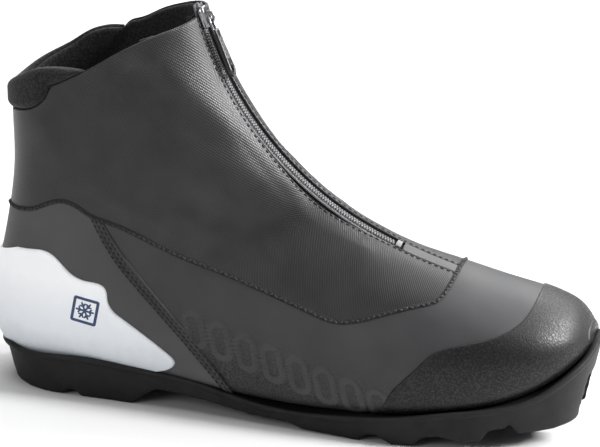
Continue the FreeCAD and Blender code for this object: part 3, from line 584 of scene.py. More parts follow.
def rod_template(rings, sides, flat):
    """A short rounded rod along x, one unit long and with unit radius, as points and faces."""
    spots = [(-0.5, 0, 0)]
    at = np.linspace(-0.5, 0.5, rings + 2)[1:-1]
    for x in at:
        reach = math.sqrt(max(1 - abs(2 * x) ** ROD_FULLNESS, ROD_TIP))
        for side in range(sides):
            turn = 2 * math.pi * side / sides
            spots.append((x, reach * math.cos(turn), flat * reach * math.sin(turn)))
    spots.append((0.5, 0, 0))
    faces = [(0, 1 + (i + 1) % sides, 1 + i) for i in range(sides)]
    for base in range(1, 1 + (rings - 1) * sides, sides):
        ahead = base + sides
        faces += [(base + i, base + (i + 1) % sides, ahead + (i + 1) % sides, ahead + i)
                  for i in range(sides)]
    last, base = len(spots) - 1, 1 + (rings - 1) * sides
    faces += [(last, base + i, base + (i + 1) % sides) for i in range(sides)]
    return np.array(spots), faces


def rods(spots, length, radius, arch=0.0, rings=7, sides=8, flat=1.0):
    """Rounded rods at (middle, direction, outward) places. Their ends dip by the arch."""
    template, faces = rod_template(rings, sides, flat)
    points, every = [], []
    dip = arch * (2 * template[:, 0]) ** 2
    for middle, direction, outward in spots:
        direction = unit(direction)
        across = unit(np.cross(outward, direction))
        base = len(points) * len(template)
        points.append(middle + np.outer(template[:, 0] * length, direction)
                      + np.outer(template[:, 1] * radius, across)
                      + np.outer(template[:, 2] * radius - dip, np.cross(direction, across)))
        every += [tuple(base + corner for corner in face) for face in faces]
    return np.concatenate(points), every


def spaced(points, normals, pitch):
    """Evenly spaced (middle, direction, outward) places along a line."""
    gaps = np.linalg.norm(np.diff(points, axis=0), axis=1)
    place = np.concatenate([[0], np.cumsum(gaps)])
    count = int(place[-1] / pitch)
    if count < 1:
        return []
    at = (np.arange(count) + 0.5) * place[-1] / count

    def sample(values, where):
        return np.stack([np.interp(where, place, values[:, axis]) for axis in range(3)], 1)

    ahead = sample(points, np.minimum(at + pitch / 2, place[-1]))
    back = sample(points, np.maximum(at - pitch / 2, 0))
    return list(zip(sample(points, at), ahead - back, sample(normals, at)))


def stitch_row(patch, name, level, height, pitch):
    """Stitch places along one value of a patch's field."""
    spots = []
    for line in patch.lines(name, level):
        normals = patch.normals[line]
        spots += spaced(patch.points[line] + normals * height, normals, pitch)
    return spots


def add_rods(name, spots, length, radius, material, slot, nodes=(), **shape):
    """One piece made of rods."""
    points, faces = rods(spots, length, radius, **shape)
    finish_piece(add_mesh(name, points, faces, MATERIALS[material]), nodes)


def sweep(name, path, outward, up, profile, material, closed=True):
    """A profile of (outward, up) points carried along a path."""
    rows = [path + outward * out + up * rise for out, rise in profile]
    points = np.stack(rows, 1).reshape(-1, 3)
    count, wide = len(path), len(profile)
    faces = []
    for i in range(count if closed else count - 1):
        j = (i + 1) % count
        faces += [(i * wide + k, j * wide + k, j * wide + (k + 1) % wide, i * wide + (k + 1) % wide)
                  for k in range(wide)]
    if not closed:
        faces += [tuple(range(wide))[::-1], tuple((count - 1) * wide + k for k in range(wide))]
    return add_mesh(name, points, faces, material)


def moulded(name, nodes, voxel, rounds, material):
    """One piece in place of CAD nodes, with its edges eased."""
    shape = bmesh.new()
    for node in nodes:
        shape.from_mesh(NODES[node].data)
    mesh = bpy.data.meshes.new(name)
    shape.to_mesh(mesh)
    shape.free()
    piece = bpy.data.objects.new(name, mesh)
    bpy.context.scene.collection.objects.link(piece)
    remesh = piece.modifiers.new("remesh", "REMESH")
    remesh.mode, remesh.voxel_size, remesh.use_smooth_shade = "VOXEL", voxel * MM, True
    ease = piece.modifiers.new("ease", "SMOOTH")
    ease.factor, ease.iterations = 0.5, rounds
    bpy.context.view_layer.update()
    evaluated = piece.evaluated_get(bpy.context.evaluated_depsgraph_get())
    eased = bpy.data.meshes.new_from_object(evaluated)
    piece.modifiers.clear()
    piece.data = eased
    coat(piece, material)
    return finish_piece(piece, nodes)


def coat(piece, material):
    """Gives the whole piece one material."""
    piece.data.materials.clear()
    piece.data.materials.append(MATERIALS[material])


# ---- materials
def shader(name, colour, rough, **inputs):
    """A material with one principled shader, and its node tree."""
    material = bpy.data.materials.new(name)
    material.use_nodes = True
    tree = material.node_tree
    surface = tree.nodes["Principled BSDF"]
    surface.inputs["Base Color"].default_value = (*colour, 1)
    surface.inputs["Roughness"].default_value = rough
    for key, value in inputs.items():
        surface.inputs[key.replace("_", " ")].default_value = value
    return material, tree, surface


def node(tree, kind, settings=None, **links):
    """A node with settings, and inputs that are values or other nodes' outputs."""
    made = tree.nodes.new(kind)
    for key, value in (settings or {}).items():
        setattr(made, key, value)
    for key, value in links.items():
        socket = made.inputs[int(key[1:]) if key[0] == "i" and key[1:].isdigit()
                             else key.replace("_", " ")]
        if isinstance(value, bpy.types.NodeSocket):
            tree.links.new(value, socket)
        else:
            socket.default_value = value
    return made


def maths(tree, operation, *values):
    made = node(tree, "ShaderNodeMath", {"operation": operation},
                **{"i%d" % i: value for i, value in enumerate(values)})
    return made.outputs[0]


def object_place(tree):
    return node(tree, "ShaderNodeTexCoord").outputs["Object"]


def noise(tree, size_mm, detail=2.0, rough=0.5):
    """Noise whose grains are about this many millimetres."""
    made = node(tree, "ShaderNodeTexNoise", Scale=1 / (size_mm * MM), Detail=detail,
                Roughness=rough, Vector=object_place(tree))
    return made.outputs["Fac"]


def between(tree, factor, low, high, from_low=0.0, from_high=1.0):
    """A factor carried to a range of values."""
    made = node(tree, "ShaderNodeMapRange", Value=factor, From_Min=from_low, From_Max=from_high,
                To_Min=low, To_Max=high)
    return made.outputs["Result"]


def ramp(tree, factor, *stops):
    """A factor turned to colours at (place, colour) stops."""
    made = node(tree, "ShaderNodeValToRGB", Fac=factor)
    steps = made.color_ramp.elements
    while len(steps) < len(stops):
        steps.new(0.5)
    for step, (place, colour) in zip(steps, stops):
        step.position, step.color = place, (*colour, 1)
    return made.outputs["Color"]


def bump(tree, surface, height, distance_mm):
    made = node(tree, "ShaderNodeBump", Height=height, Distance=distance_mm * MM, Strength=1.0)
    tree.links.new(made.outputs["Normal"], surface.inputs["Normal"])


def link(tree, output, surface, name):
    tree.links.new(output, surface.inputs[name])


def weave(tree, pitch_mm):
    """Height of a plain weave in the flat cloth, from -1 to 1."""
    flat = node(tree, "ShaderNodeUVMap", {"uv_map": "cloth"}).outputs["UV"]
    parts = node(tree, "ShaderNodeSeparateXYZ", Vector=flat)
    waves = [maths(tree, "SINE", maths(tree, "MULTIPLY", parts.outputs[axis],
                                       2 * math.pi / (pitch_mm * MM))) for axis in ("X", "Y")]
    return maths(tree, "MULTIPLY", *waves)


def woven_cloth(name, colour, bright, rough, pitch=1.5, depth=0.05):
    """Satin woven cloth: a fine weave, slow changes of tone and a soft sheen."""
    material, tree, surface = shader(name, colour, rough, Specular_IOR_Level=0.4)
    threads = weave(tree, pitch)
    tone = maths(tree, "ADD", between(tree, threads, 0, 0.8, -0.8, 0.8),
                 between(tree, noise(tree, 14), 0, 0.2, 0.3, 0.7))
    link(tree, ramp(tree, tone, (0.2, colour), (0.8, bright)), surface, "Base Color")
    link(tree, between(tree, threads, rough + 0.16, rough - 0.08, -0.8, 0.8), surface, "Roughness")
    grain = maths(tree, "ADD", threads, between(tree, noise(tree, 0.5), -0.4, 0.4))
    bump(tree, surface, grain, depth)
    return material


# Noise of the tone, roughness and relief as (size in mm, detail, roughness); where the tone turns
# from the first colour to the second; how far the roughness varies; how deep the relief is.
SURFACES = {
    "leather": dict(tone=(24, 3), turn=(0.3, 0.7), wear=(3, 4), spread=(-0.06, 0.08),
                    grain=(0.9, 3), depth=0.03, Specular_IOR_Level=0.3),
    "rubber": dict(tone=(9, 4, 0.6), turn=(0.35, 0.7), wear=(2.5, 3), spread=(-0.06, 0.1),
                   grain=(0.45, 2), depth=0.025, Specular_IOR_Level=0.16),
    "plastic": dict(tone=(4, 3), turn=(0.3, 0.7), wear=(1.2,), spread=(-0.06, 0.1),
                    grain=(0.8,), depth=0.015),
    "metal": dict(tone=(1.5, 4), turn=(0.3, 0.7), wear=(1.5, 4), spread=(-0.08, 0.12),
                  grain=(0.4,), depth=0.01, Metallic=1.0),
}


def varied(kind, name, colour, bright, rough, **changes):
    """Leather, rubber, plastic or metal whose tone, roughness and relief vary a little."""
    look = {**SURFACES[kind], **changes}
    tone, turn, wear, spread, grain, depth = (
        look.pop(key) for key in ("tone", "turn", "wear", "spread", "grain", "depth"))
    material, tree, surface = shader(name, colour, rough, **look)
    link(tree, ramp(tree, noise(tree, *tone), (turn[0], colour), (turn[1], bright)),
         surface, "Base Color")
    link(tree, between(tree, noise(tree, *wear), rough + spread[0], rough + spread[1]),
         surface, "Roughness")
    bump(tree, surface, noise(tree, *grain), depth)
    return material


def speckled_rubber(name, colour, bright, rough):
    """Black rubber film with a coarse grain that catches the light in specks."""
    material, tree, surface = shader(name, colour, rough, Specular_IOR_Level=0.3)
    specks = noise(tree, 0.9, 1, 0.6)
    link(tree, ramp(tree, specks, (0.45, colour), (0.66, bright)), surface, "Base Color")
    link(tree, between(tree, specks, rough + 0.08, rough - 0.1, 0.4, 0.65), surface, "Roughness")
    bump(tree, surface, specks, 0.16)
    return material


def knit(name, colour, bright, pitch=1.3, depth=0.25):
    """Brushed knit: rows of small loops under a soft nap."""
    material, tree, surface = shader(name, colour, 0.9, Sheen_Weight=0.12, Sheen_Roughness=0.5,
                                     Specular_IOR_Level=0.15)
    spots = node(tree, "ShaderNodeTexVoronoi", Scale=1 / (pitch * MM), Vector=object_place(tree))
    nap = between(tree, noise(tree, 0.6), -0.3, 0.3)
    loops = maths(tree, "ADD", spots.outputs["Distance"], nap)
    link(tree, ramp(tree, loops, (0.1, bright), (0.7, colour)), surface, "Base Color")
    bump(tree, surface, maths(tree, "MULTIPLY", loops, -1.0), depth)
    return material


def thread(name, colour, bright):
    """Twisted sewing thread."""
    material, tree, surface = shader(name, colour, 0.5, Specular_IOR_Level=0.35)
    twist = node(tree, "ShaderNodeTexWave", Scale=1 / (0.9 * MM), Distortion=1.5,
                 Vector=object_place(tree)).outputs["Fac"]
    link(tree, ramp(tree, twist, (0.2, colour), (0.8, bright)), surface, "Base Color")
    bump(tree, surface, twist, 0.05)
    return material


def heel_film(name):
    """Pale satin film, with painted shade: its colour greys towards the sole."""
    material, tree, surface = shader(name, (0.75, 0.78, 0.81), 0.42, Specular_IOR_Level=0.35)
    height = node(tree, "ShaderNodeSeparateXYZ", Vector=object_place(tree)).outputs["Z"]
    # Painted shade: the colour darkens from 60 mm down to 18 mm above the floor, with a little
    # random tone added.
    painted_shade_and_tone = maths(tree, "ADD", between(tree, height, 0, 1, 0.018, 0.060),
                 between(tree, noise(tree, 6, 4), -0.08, 0.08))
    link(tree, ramp(tree, painted_shade_and_tone, (0.0, (0.52, 0.56, 0.60)), (0.35, (0.76, 0.79, 0.83)),
                    (1.0, (0.94, 0.95, 0.97))), surface, "Base Color")
    bump(tree, surface, noise(tree, 0.9, 3), 0.02)
    return material


def shell_leather(name):
    """Coated leather of the forefoot, printed with dark specks low down on its sides."""
    material, tree, surface = shader(name, (0.05, 0.05, 0.052), 0.48, Specular_IOR_Level=0.3)
    parts = node(tree, "ShaderNodeSeparateXYZ", Vector=object_place(tree))
    height = maths(tree, "ADD", parts.outputs["Z"],
                   maths(tree, "MULTIPLY", parts.outputs["X"], 0.20))
    low = between(tree, height, 1, 0, 0.022, 0.048)
    specks = between(tree, noise(tree, 0.8, 2, 0.6), 0, 1, 0.40, 0.60)
    printed = maths(tree, "MULTIPLY", low, maths(tree, "SUBTRACT", 1.1, specks))
    tone = ramp(tree, noise(tree, 24, 3), (0.3, (0.032, 0.032, 0.034)),
                (0.7, (0.042, 0.042, 0.044)))
    mix = node(tree, "ShaderNodeMix", {"data_type": "RGBA"}, Factor=printed)
    tree.links.new(tone, mix.inputs[6])
    mix.inputs[7].default_value = (0.012, 0.012, 0.013, 1)
    link(tree, mix.outputs[2], surface, "Base Color")
    link(tree, between(tree, printed, 0.46, 0.60), surface, "Roughness")
    grain = maths(tree, "ADD", noise(tree, 0.9, 3), maths(tree, "MULTIPLY", printed, 1.5))
    bump(tree, surface, grain, 0.03)
    return material


MATERIALS = {
    "woven": woven_cloth("woven_black", (0.001, 0.001, 0.0011), (0.030, 0.030, 0.031), 0.34),
    "placket": woven_cloth("placket_satin", (0.020, 0.020, 0.021), (0.060, 0.060, 0.062), 0.36),
    "shell": shell_leather("grey_shell"),
    "raised": varied("leather", "raised_grey", (0.036, 0.036, 0.038), (0.046, 0.046, 0.048), 0.5),
    "rear": varied("leather", "rear_shell", (0.052, 0.052, 0.054), (0.066, 0.066, 0.068), 0.5),
    "piping": varied("leather", "piping", (0.030, 0.030, 0.032), (0.042, 0.042, 0.044), 0.42,
                     grain=(0.6, 3), depth=0.05),
    "toe": speckled_rubber("toe_grain", (0.0015, 0.0015, 0.0016), (0.019, 0.019, 0.020), 0.42),
    "heel": heel_film("heel_white"),
    "knit": knit("lining_knit", (0.010, 0.010, 0.011), (0.026, 0.026, 0.028)),
    "footbed": knit("footbed_fabric", (0.020, 0.020, 0.022), (0.045, 0.045, 0.048), 1.0, 0.15),
    "sole": varied("rubber", "sole_rubber", (0.010, 0.010, 0.0105), (0.016, 0.016, 0.017), 0.55),
    "binding": woven_cloth("seam_binding", (0.004, 0.004, 0.004), (0.010, 0.010, 0.011), 0.6, 0.9),
    "tape": woven_cloth("tape_grey", (0.08, 0.08, 0.083), (0.16, 0.16, 0.165), 0.6, 0.7, 0.04),
    "coil": varied("plastic", "coil_nylon", (0.10, 0.10, 0.103), (0.16, 0.16, 0.165), 0.36),
    "slider": varied("metal", "slider_metal", (0.195, 0.195, 0.2025), (0.26, 0.26, 0.27), 0.28),
    "pull": varied("plastic", "pull_plastic", (0.005, 0.005, 0.0055), (0.009, 0.009, 0.0095), 0.3),
    "steel": varied("metal", "bar_steel", (0.45, 0.45, 0.465), (0.60, 0.60, 0.62), 0.28),
    "insert": varied("plastic", "insert_plastic", (0.030, 0.030, 0.032), (0.045, 0.045, 0.047),
                     0.45),
    "thread": thread("stitching", (0.002, 0.002, 0.002), (0.007, 0.007, 0.007)),
    # Painted highlight: the seam's black thread is coloured lighter grey than the other stitching,
    # in place of the light its oversewn stitches catch.
    "seam_thread_painted_highlight": thread("seam_thread_painted_highlight", (0.008, 0.008, 0.008), (0.036, 0.036, 0.037)),
    "tack": thread("bar_tack", (0.14, 0.14, 0.14), (0.28, 0.28, 0.285)),
    "mark": varied("leather", "mark_navy", (0.030, 0.058, 0.135), (0.038, 0.070, 0.155), 0.45),
    "stiffener": varied("rubber", "stiffener", (0.30, 0.30, 0.29), (0.36, 0.36, 0.35), 0.55),
    "foam": varied("rubber", "foam", (0.35, 0.34, 0.30), (0.42, 0.41, 0.37), 0.8),
    "board": varied("rubber", "board", (0.30, 0.24, 0.16), (0.38, 0.31, 0.22), 0.8),
}

# ---- side-view lines of the upper
SEAM = smooth([(-160, 90), (-138, 90.1), (-124.6, 94), (-116, 98.6), (-109.5, 100.2), (-103, 98.7),
               (-96, 95), (-86.7, 92.5), (-73.8, 88), (-55, 79.8), (-28, 71.2), (-4.6, 64.5),
               (16.8, 58.5), (28, 56.2), (36, 57.2), (53.7, 63), (71, 68), (76, 69.8),
               (79.3, 73.6), (81.6, 80), (83, 90)])
CUFF_EDGE = smooth([(-160, 136.5), (-149, 137.5), (-140, 140), (-131, 143), (-125.4, 146.5),
                    (-121.4, 151), (-118.8, 157)])
COLLAR = {
    "lateral": smooth([(-118.8, 157), (-109, 162.2), (-101.2, 166.7), (-86.5, 176.2), (-75, 182.6),
                       (-65, 187), (-56, 190.6), (-50, 194.5), (-46, 198), (-40, 202)]),
    "medial": smooth([(-118.8, 157), (-102, 172.5), (-99.5, 175.6), (-93.7, 178), (-83.5, 183.5),
                      (-70, 189.5), (-56, 194.5), (-40, 197)]),
}
CUFF_BACK = [(-160, 138), (-153, 144), (-147.5, 150.5), (-143.5, 154.6), (-137, 159)]
CUFF_RIM = {
    "lateral": smooth(CUFF_BACK + [(-130, 163), (-122, 165.7), (-112, 166.9), (-106, 167),
                                   (-101.3, 166.7)]),
    "medial": smooth(CUFF_BACK + [(-128.4, 163.7), (-123.3, 167.3), (-118.1, 170.4), (-113, 172.2),
                                  (-107.9, 173.2), (-101.9, 173.4)]),
}
PIPING_REAR = smooth([(-96, 95), (-85.5, 76), (-73.5, 61.5), (-60, 48), (-49, 37.8), (-36.5, 26),
                      (-26.5, 15.5), (-20, 5)])
PIPING_FRONT = smooth([(-90, 94.5), (-80.5, 79.5), (-69, 65.2), (-56, 51.5), (-45, 41),
                       (-32.5, 28.6), (-22.8, 17.5), (-16.5, 5)])
COUNTER_EDGE = cornered([(-166, 73), (-150, 71), (-138, 71), (-117.2, 74.4), (-103, 61.4),
                         (-87, 60.6), (-86.2, 48.6), (-58, 31.6), (-49.5, 26), (-53.6, 21),
                         (-66, 17.5), (-75, 12)], 6.5)
TOE_EDGE = smooth([(52, 11), (58, 26), (69.4, 39.6), (77, 47.5), (82, 50.2), (91, 52.8),
                   (103.4, 56), (111.5, 59.3), (117, 63.2), (119.7, 67.6), (119.5, 75)])
RIM = smooth([(-158, 28), (-147, 23.8), (-139, 20.4), (-129, 19.3), (-115, 20.3), (-98, 21.3),
              (-80, 20.1), (-62, 18.8), (-44, 17), (-28, 14.2), (-12, 10.9), (4, 9.5), (20, 9.8),
              (40, 11.8), (62, 14.5), (82, 18.3), (102, 21.2), (116, 23.8), (127, 27.6),
              (136, 33.4), (143, 38.8), (148, 43.6), (151, 49), (153, 52), (160, 53)])
HIDDEN_EDGE = RIM - np.array([0, 4.0])
HEEL_HIDDEN_EDGE = np.concatenate([[(-166, 17.0), (-150, 17.0)],
                                   HIDDEN_EDGE[HIDDEN_EDGE[:, 0] > -141]])
ZIP_END_X = on_track(ZIP_BOTTOM + 1.4, ZIP_RADIUS)[0]


# ---- panels of the upper
def hills(points, shapes):
    """Soft ridges and hollows along lines in the side view: (line, height, width)."""
    total = np.zeros(len(points))
    still = np.tile([0.0, 1.0, 0.0], (len(points), 1))
    for line, height, width in shapes:
        gap = side_distance(points, still, smooth(line, 3.0))
        total += height * np.exp(-(gap / width) ** 2)
    return total


FOLDS_LATERAL = [
    ([(-84, 178), (-66, 158), (-47, 143), (-21, 128), (-2, 113)], -1.4, 7.5),
    ([(-72, 176), (-48, 152), (-25, 130), (5, 108), (34, 92)], 0.9, 7.0),
    ([(-98, 118), (-86, 106), (-67, 94)], 1.1, 6.5),
    ([(-46, 97), (-38, 91)], 1.1, 6.0),
    ([(-14, 85), (-6, 79)], 1.0, 6.0),
    ([(-122, 140), (-112, 122), (-104, 108)], 0.8, 8.0),
    ([(-76, 128), (-56, 110), (-34, 100)], -0.8, 9.0),
]
FOLDS_MEDIAL = [
    ([(-84, 182), (-64, 160), (-44, 142), (-18, 126)], -1.2, 8.0),
    ([(-66, 172), (-42, 146), (-16, 122), (16, 100)], 0.8, 7.0),
    ([(-104, 120), (-84, 104), (-62, 92)], 0.9, 7.0),
    ([(-40, 96), (-28, 88)], 0.9, 6.5),
]
EDGE_ROUND, EDGE_DROP = 0.9, 0.8


def woven_top(side):
    """Top edge of the woven cloth on one side."""
    return np.concatenate([CUFF_EDGE, COLLAR[side][1:]])


def by_side(fields):
    """One field on the outer side of the boot and another on its inner side."""
    return lambda *at: np.where(at[0][:, 1] < 0, fields["lateral"](*at), fields["medial"](*at))


def woven_panel(side):
    """One half of the woven shaft, from the zip round to the seam down the back."""
    if side == "lateral":
        us, folds = np.linspace(14, 28, 132), FOLDS_LATERAL
        slot, back = before_y(ZIP_Y - SLOT_HALF), before_y(0)
    else:
        us, folds = np.linspace(-1.6, 14, 146), FOLDS_MEDIAL
        slot, back = beyond_y(ZIP_Y + SLOT_HALF), beyond_y(0)
    slot = on_half(slot, 1)
    outline = all_of(left_of(SEAM), right_of(woven_top(side)), slot, on_half(back, -1))
    patch = Patch(upper_surface, us, np.linspace(0.4, 13.6, 330)).add("edge", outline)
    patch.trim("edge", *ring_levels(EDGE_ROUND), 1.6)
    edge = patch.values["edge"]
    soft = hills(patch.points, folds) * np.clip((edge - 1.5) / 9, 0, 1) ** 1.5
    patch.add("slot", slot)
    piece = shell("ankle_panel_" + side, patch, rounded(edge, EDGE_ROUND, EDGE_DROP) + soft,
                  np.minimum(-COVER, soft - COVER), MATERIALS["woven"])
    finish_piece(piece, ["ankle_shell_" + side])
    return patch


def zip_edge_rows(patches):
    """Rows of stitches down both sides of the zip and of the placket below it."""
    inset = 1.25
    for side, patch in patches.items():
        row = stitch_row(patch.cut("slot", inset), "slot", inset, 0.05, 3.1)
        add_rods("zip_row_" + side, row, 2.3, 0.45, "thread", "stitching", arch=0.3)


def seam_binding():
    """Black bound edge along the lower seam of the woven cloth, oversewn with stitches."""
    beyond = np.array([(ZIP_END_X + 20, 300.0), (ZIP_END_X + 20, 0.0)])
    off_slot = any_of(before_y(ZIP_Y - SLOT_HALF), beyond_y(ZIP_Y + SLOT_HALF), left_of(beyond))
    cover = all_of(band(left_of(SEAM), -0.7, 1.7), off_slot)
    patch = Patch(upper_surface, np.linspace(-14, 14, 320), np.linspace(3.0, 14.2, 360))
    patch.add("edge", cover).trim("edge", 0.12, 0.4, 0.8)
    patch.add("across", left_of(SEAM)).cut("across", 0.35)
    top = 0.5 * np.sqrt(np.clip(patch.values["edge"] / 1.2, 0, 1)) + 0.02
    piece = shell("seam_binding", patch, top, -0.5, MATERIALS["binding"])
    finish_piece(piece)
    row = stitch_row(patch, "across", 0.35, 0.62, 2.7)
    slanted = []
    for count, (middle, ahead, outward) in enumerate(row):
        lean = 0.55 * (-1) ** count
        slanted.append((middle, unit(ahead) + lean * np.cross(outward, unit(ahead)), outward))
    # These stitches take the lighter seam thread, whose grey is painted highlight.
    add_rods("seam_row", slanted, 2.4, 0.48, "seam_thread_painted_highlight", "stitching", arch=0.35)


def upper_panel(name, outline, us, vs, heights, bottom, material, node_names, radius,
                extra=None):
    """A panel of the upper from its outline, with its heights worked out from its fields."""
    patch = Patch(upper_surface, us, vs).add("edge", outline).trim("edge", *ring_levels(radius))
    if extra:
        extra(patch)
    finish_piece(shell(name, patch, heights(patch), bottom, MATERIALS[material]), node_names)
    return patch


ROUND_FRONT = np.linspace(-14, 14, 260)
ROUND_BACK = np.linspace(0, 28, 260)
TO_TIP = SPANS + np.linspace(0, TIP_END, 13)[1:]

# Raised slanted rings in a row low on the outer side, falling towards the toe.
RING_FIRST, RING_PITCH, RING_COUNT = (-42.0, 43.0), 13.6, 8
RING_FALL, RING_LENGTH, RING_HALF, RING_STROKE, RING_SLANT = 0.262, 19.0, 5.4, 2.7, 0.28
RING_RAISE = 0.32


def ring_field(points, normals, uv):
    """Positive inside the strokes of the raised rings, on the outer side only."""
    best = np.full(len(points), -FAR)
    for number in range(RING_COUNT):
        x = RING_FIRST[0] + number * RING_PITCH
        rise = points[:, 2] - RING_FIRST[1] + RING_FALL * number * RING_PITCH
        off = points[:, 0] - x + RING_SLANT * rise
        reach = np.hypot(off, np.maximum(np.abs(rise) - RING_LENGTH / 2 + RING_HALF, 0))
        middle = RING_HALF - RING_STROKE / 2
        best = np.maximum(best, RING_STROKE / 2 - np.abs(reach - middle))
    return np.where(points[:, 1] < 0, best, -FAR)


def front_shell():
    """Grey coated leather round the forefoot, under the woven cloth and the toe cap."""
    outline = all_of(right_of(SEAM), left_of(PIPING_REAR), left_of(HIDDEN_EDGE))
    places_along = np.concatenate([np.linspace(3.5, SPANS, 380), TO_TIP])

    foot, crest = -0.2, 0.25

    def emboss(patch):
        patch.add("rings", ring_field).cut("rings", foot, crest)

    def heights(patch):
        rings = np.clip((patch.values["rings"] - foot) / (crest - foot), 0, 1)
        return rounded(patch.values["edge"], EDGE_ROUND, EDGE_DROP) + RING_RAISE * rings

    patch = upper_panel("forefoot_shell", outline, ROUND_FRONT, places_along, heights, -COVER,
                        "shell", ["vamp", "quarter_lateral", "quarter_medial"],
                        EDGE_ROUND, emboss)
    mesh = bpy.data.objects["forefoot_shell"].data
    mesh.materials.append(MATERIALS["raised"])
    on_ring = patch.values["rings"][patch.faces].min(1) > foot - 0.01
    index = np.zeros(len(mesh.polygons), np.int32)
    index[:len(on_ring)] = on_ring
    mesh.polygons.foreach_set("material_index", index)


def rear_shell():
    """Grey coated leather round the heel."""
    outline = all_of(right_of(SEAM), right_of(PIPING_FRONT), left_of(HEEL_HIDDEN_EDGE))
    upper_panel("rear_shell", outline, ROUND_BACK, np.linspace(2.5, 12.5, 260),
                lambda patch: rounded(patch.values["edge"], EDGE_ROUND, EDGE_DROP) + 0.1,
                -COVER, "rear", ["rear_quarter"], EDGE_ROUND)


PIPING_ROWS = (0.8, 2.7, 4.3)


def piping(side):
    """Diagonal strap over the joint of the two grey panels: two ridges and three stitch rows."""
    half = before_y(0) if side == "lateral" else beyond_y(0)
    us = np.linspace(14, 24, 110) if side == "lateral" else np.linspace(4, 14, 110)
    strap = all_of(left_of(PIPING_REAR), right_of(PIPING_FRONT),
                   left_of(HIDDEN_EDGE + np.array([0, 5.0])),
                   right_of(SEAM + np.array([0, 0.4])), half)
    patch = Patch(upper_surface, us, np.linspace(4.0, 12.5, 300)).add("edge", strap)
    patch.trim("edge", 0.1, 0.35, 0.7)
    patch.add("rear", left_of(PIPING_REAR)).cut("rear", 0.8, 1.3, 1.75, 2.2, 2.7, 3.2, 3.7, 4.3)
    ridges = sum(height * np.exp(-((patch.values["rear"] - middle) / 0.4) ** 2)
                 for height, middle in ((0.55, 1.75), (0.45, 3.6)))
    top = 0.9 + rounded(patch.values["edge"], 0.7, 0.7) + ridges
    piece = shell("piping_" + side, patch, top, 0.05, MATERIALS["piping"])
    finish_piece(piece, ["quarter_piping_" + side])
    rows = [spot for level in PIPING_ROWS for spot in stitch_row(patch, "rear", level, 0.98, 2.9)]
    add_rods("piping_row_" + side, rows, 2.1, 0.42, "thread", "stitching", arch=0.3)


COUNTER_THICK = 1.15


def heel_counter():
    """Pale moulded heel counter."""
    outline = all_of(right_of(COUNTER_EDGE), left_of(HEEL_HIDDEN_EDGE + np.array([0, 0.5])))
    upper_panel("heel_counter_shell", outline, ROUND_BACK, np.linspace(4.5, 11.2, 260),
                lambda patch: COUNTER_THICK + rounded(patch.values["edge"], 1.1, 1.0), 0.05,
                "heel", ["heel_counter"], 1.1)


def toe_cap():
    """Grained rubber film over the toe."""
    outline = all_of(right_of(TOE_EDGE), left_of(HIDDEN_EDGE + np.array([0, 2.0])))
    places_along = np.concatenate([np.linspace(10.5, SPANS, 260), TO_TIP])
    upper_panel("toe_cap_film", outline, ROUND_FRONT, places_along,
                lambda patch: 0.85 + rounded(patch.values["edge"], 0.9, 0.75), 0.0,
                "toe", ["toe_cap"], 0.9)


MARK_MIDDLE, MARK_TURN, MARK_HALF = (-97.5, 46.0), math.radians(-9), 6.7
MARK_CORNER, MARK_FRAME = 1.2, 1.5
ARM_REACH, ARM_HALF = 4.3, 0.48
TWIG_START, TWIG_REACH, TWIG_LEAN = 2.3, 1.6, math.radians(55)


def stroke(along, across, reach):
    """Distance from a straight stroke that runs from the origin to its reach."""
    return np.hypot(across, np.maximum(np.maximum(-along, along - reach), 0))


def mark_field(points, normals, uv):
    """Positive inside a rounded square frame with a six-armed snowflake in it."""
    x, z = points[:, 0] - MARK_MIDDLE[0], points[:, 2] - MARK_MIDDLE[1]
    a = x * math.cos(MARK_TURN) + z * math.sin(MARK_TURN)
    b = -x * math.sin(MARK_TURN) + z * math.cos(MARK_TURN)
    reach = np.hypot(np.maximum(np.abs(a) - MARK_HALF + MARK_CORNER, 0),
                     np.maximum(np.abs(b) - MARK_HALF + MARK_CORNER, 0)) - MARK_CORNER
    inside = np.maximum(np.abs(a), np.abs(b)) - MARK_HALF
    square = -np.where(reach > -MARK_CORNER, reach, inside)
    best = np.minimum(square, MARK_FRAME - square)
    for arm in range(6):
        turn = arm * math.pi / 3
        along = a * math.cos(turn) + b * math.sin(turn)
        across = -a * math.sin(turn) + b * math.cos(turn)
        best = np.maximum(best, ARM_HALF - stroke(along, across, ARM_REACH))
        for lean in (-TWIG_LEAN, TWIG_LEAN):
            c = (along - TWIG_START) * math.cos(lean) + across * math.sin(lean)
            d = -(along - TWIG_START) * math.sin(lean) + across * math.cos(lean)
            best = np.maximum(best, ARM_HALF * 0.9 - stroke(c, d, TWIG_REACH))
    return np.where(points[:, 1] < 0, best, -FAR)


def heel_mark():
    """Small navy mark printed on the heel counter: a generic snowflake in a frame."""
    patch = Patch(upper_surface, np.linspace(16.5, 21.5, 200), np.linspace(6.2, 9.8, 260))
    patch.add("edge", mark_field).trim("edge", 0.12)
    top = COUNTER_THICK + 0.10 * np.clip(patch.values["edge"] / 0.12, 0, 1)
    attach(shell("heel_mark", patch, top, COUNTER_THICK - 0.05, MATERIALS["mark"]), "boot")


def placket():
    """Smooth strip below the zip, between two rows of stitches."""
    gap = 0.15
    zip_end = np.array([(ZIP_END_X, 300.0), (ZIP_END_X, 0.0)])
    outline = all_of(before_y(ZIP_Y + SLOT_HALF - gap), beyond_y(ZIP_Y - SLOT_HALF + gap),
                     left_of(zip_end), left_of(SEAM))
    patch = Patch(upper_surface, np.linspace(-2.2, 1.6, 60), np.linspace(10.2, 13.4, 130))
    patch.add("edge", outline).trim("edge", *ring_levels(0.6))
    piece = shell("placket_strip", patch, 0.05 + rounded(patch.values["edge"], 0.6, 0.5), -COVER,
                  MATERIALS["placket"])
    finish_piece(piece, ["placket"])


# ---- collar and lining
CUFF_ROUND, LINING_ROUND = 4.4, 1.7


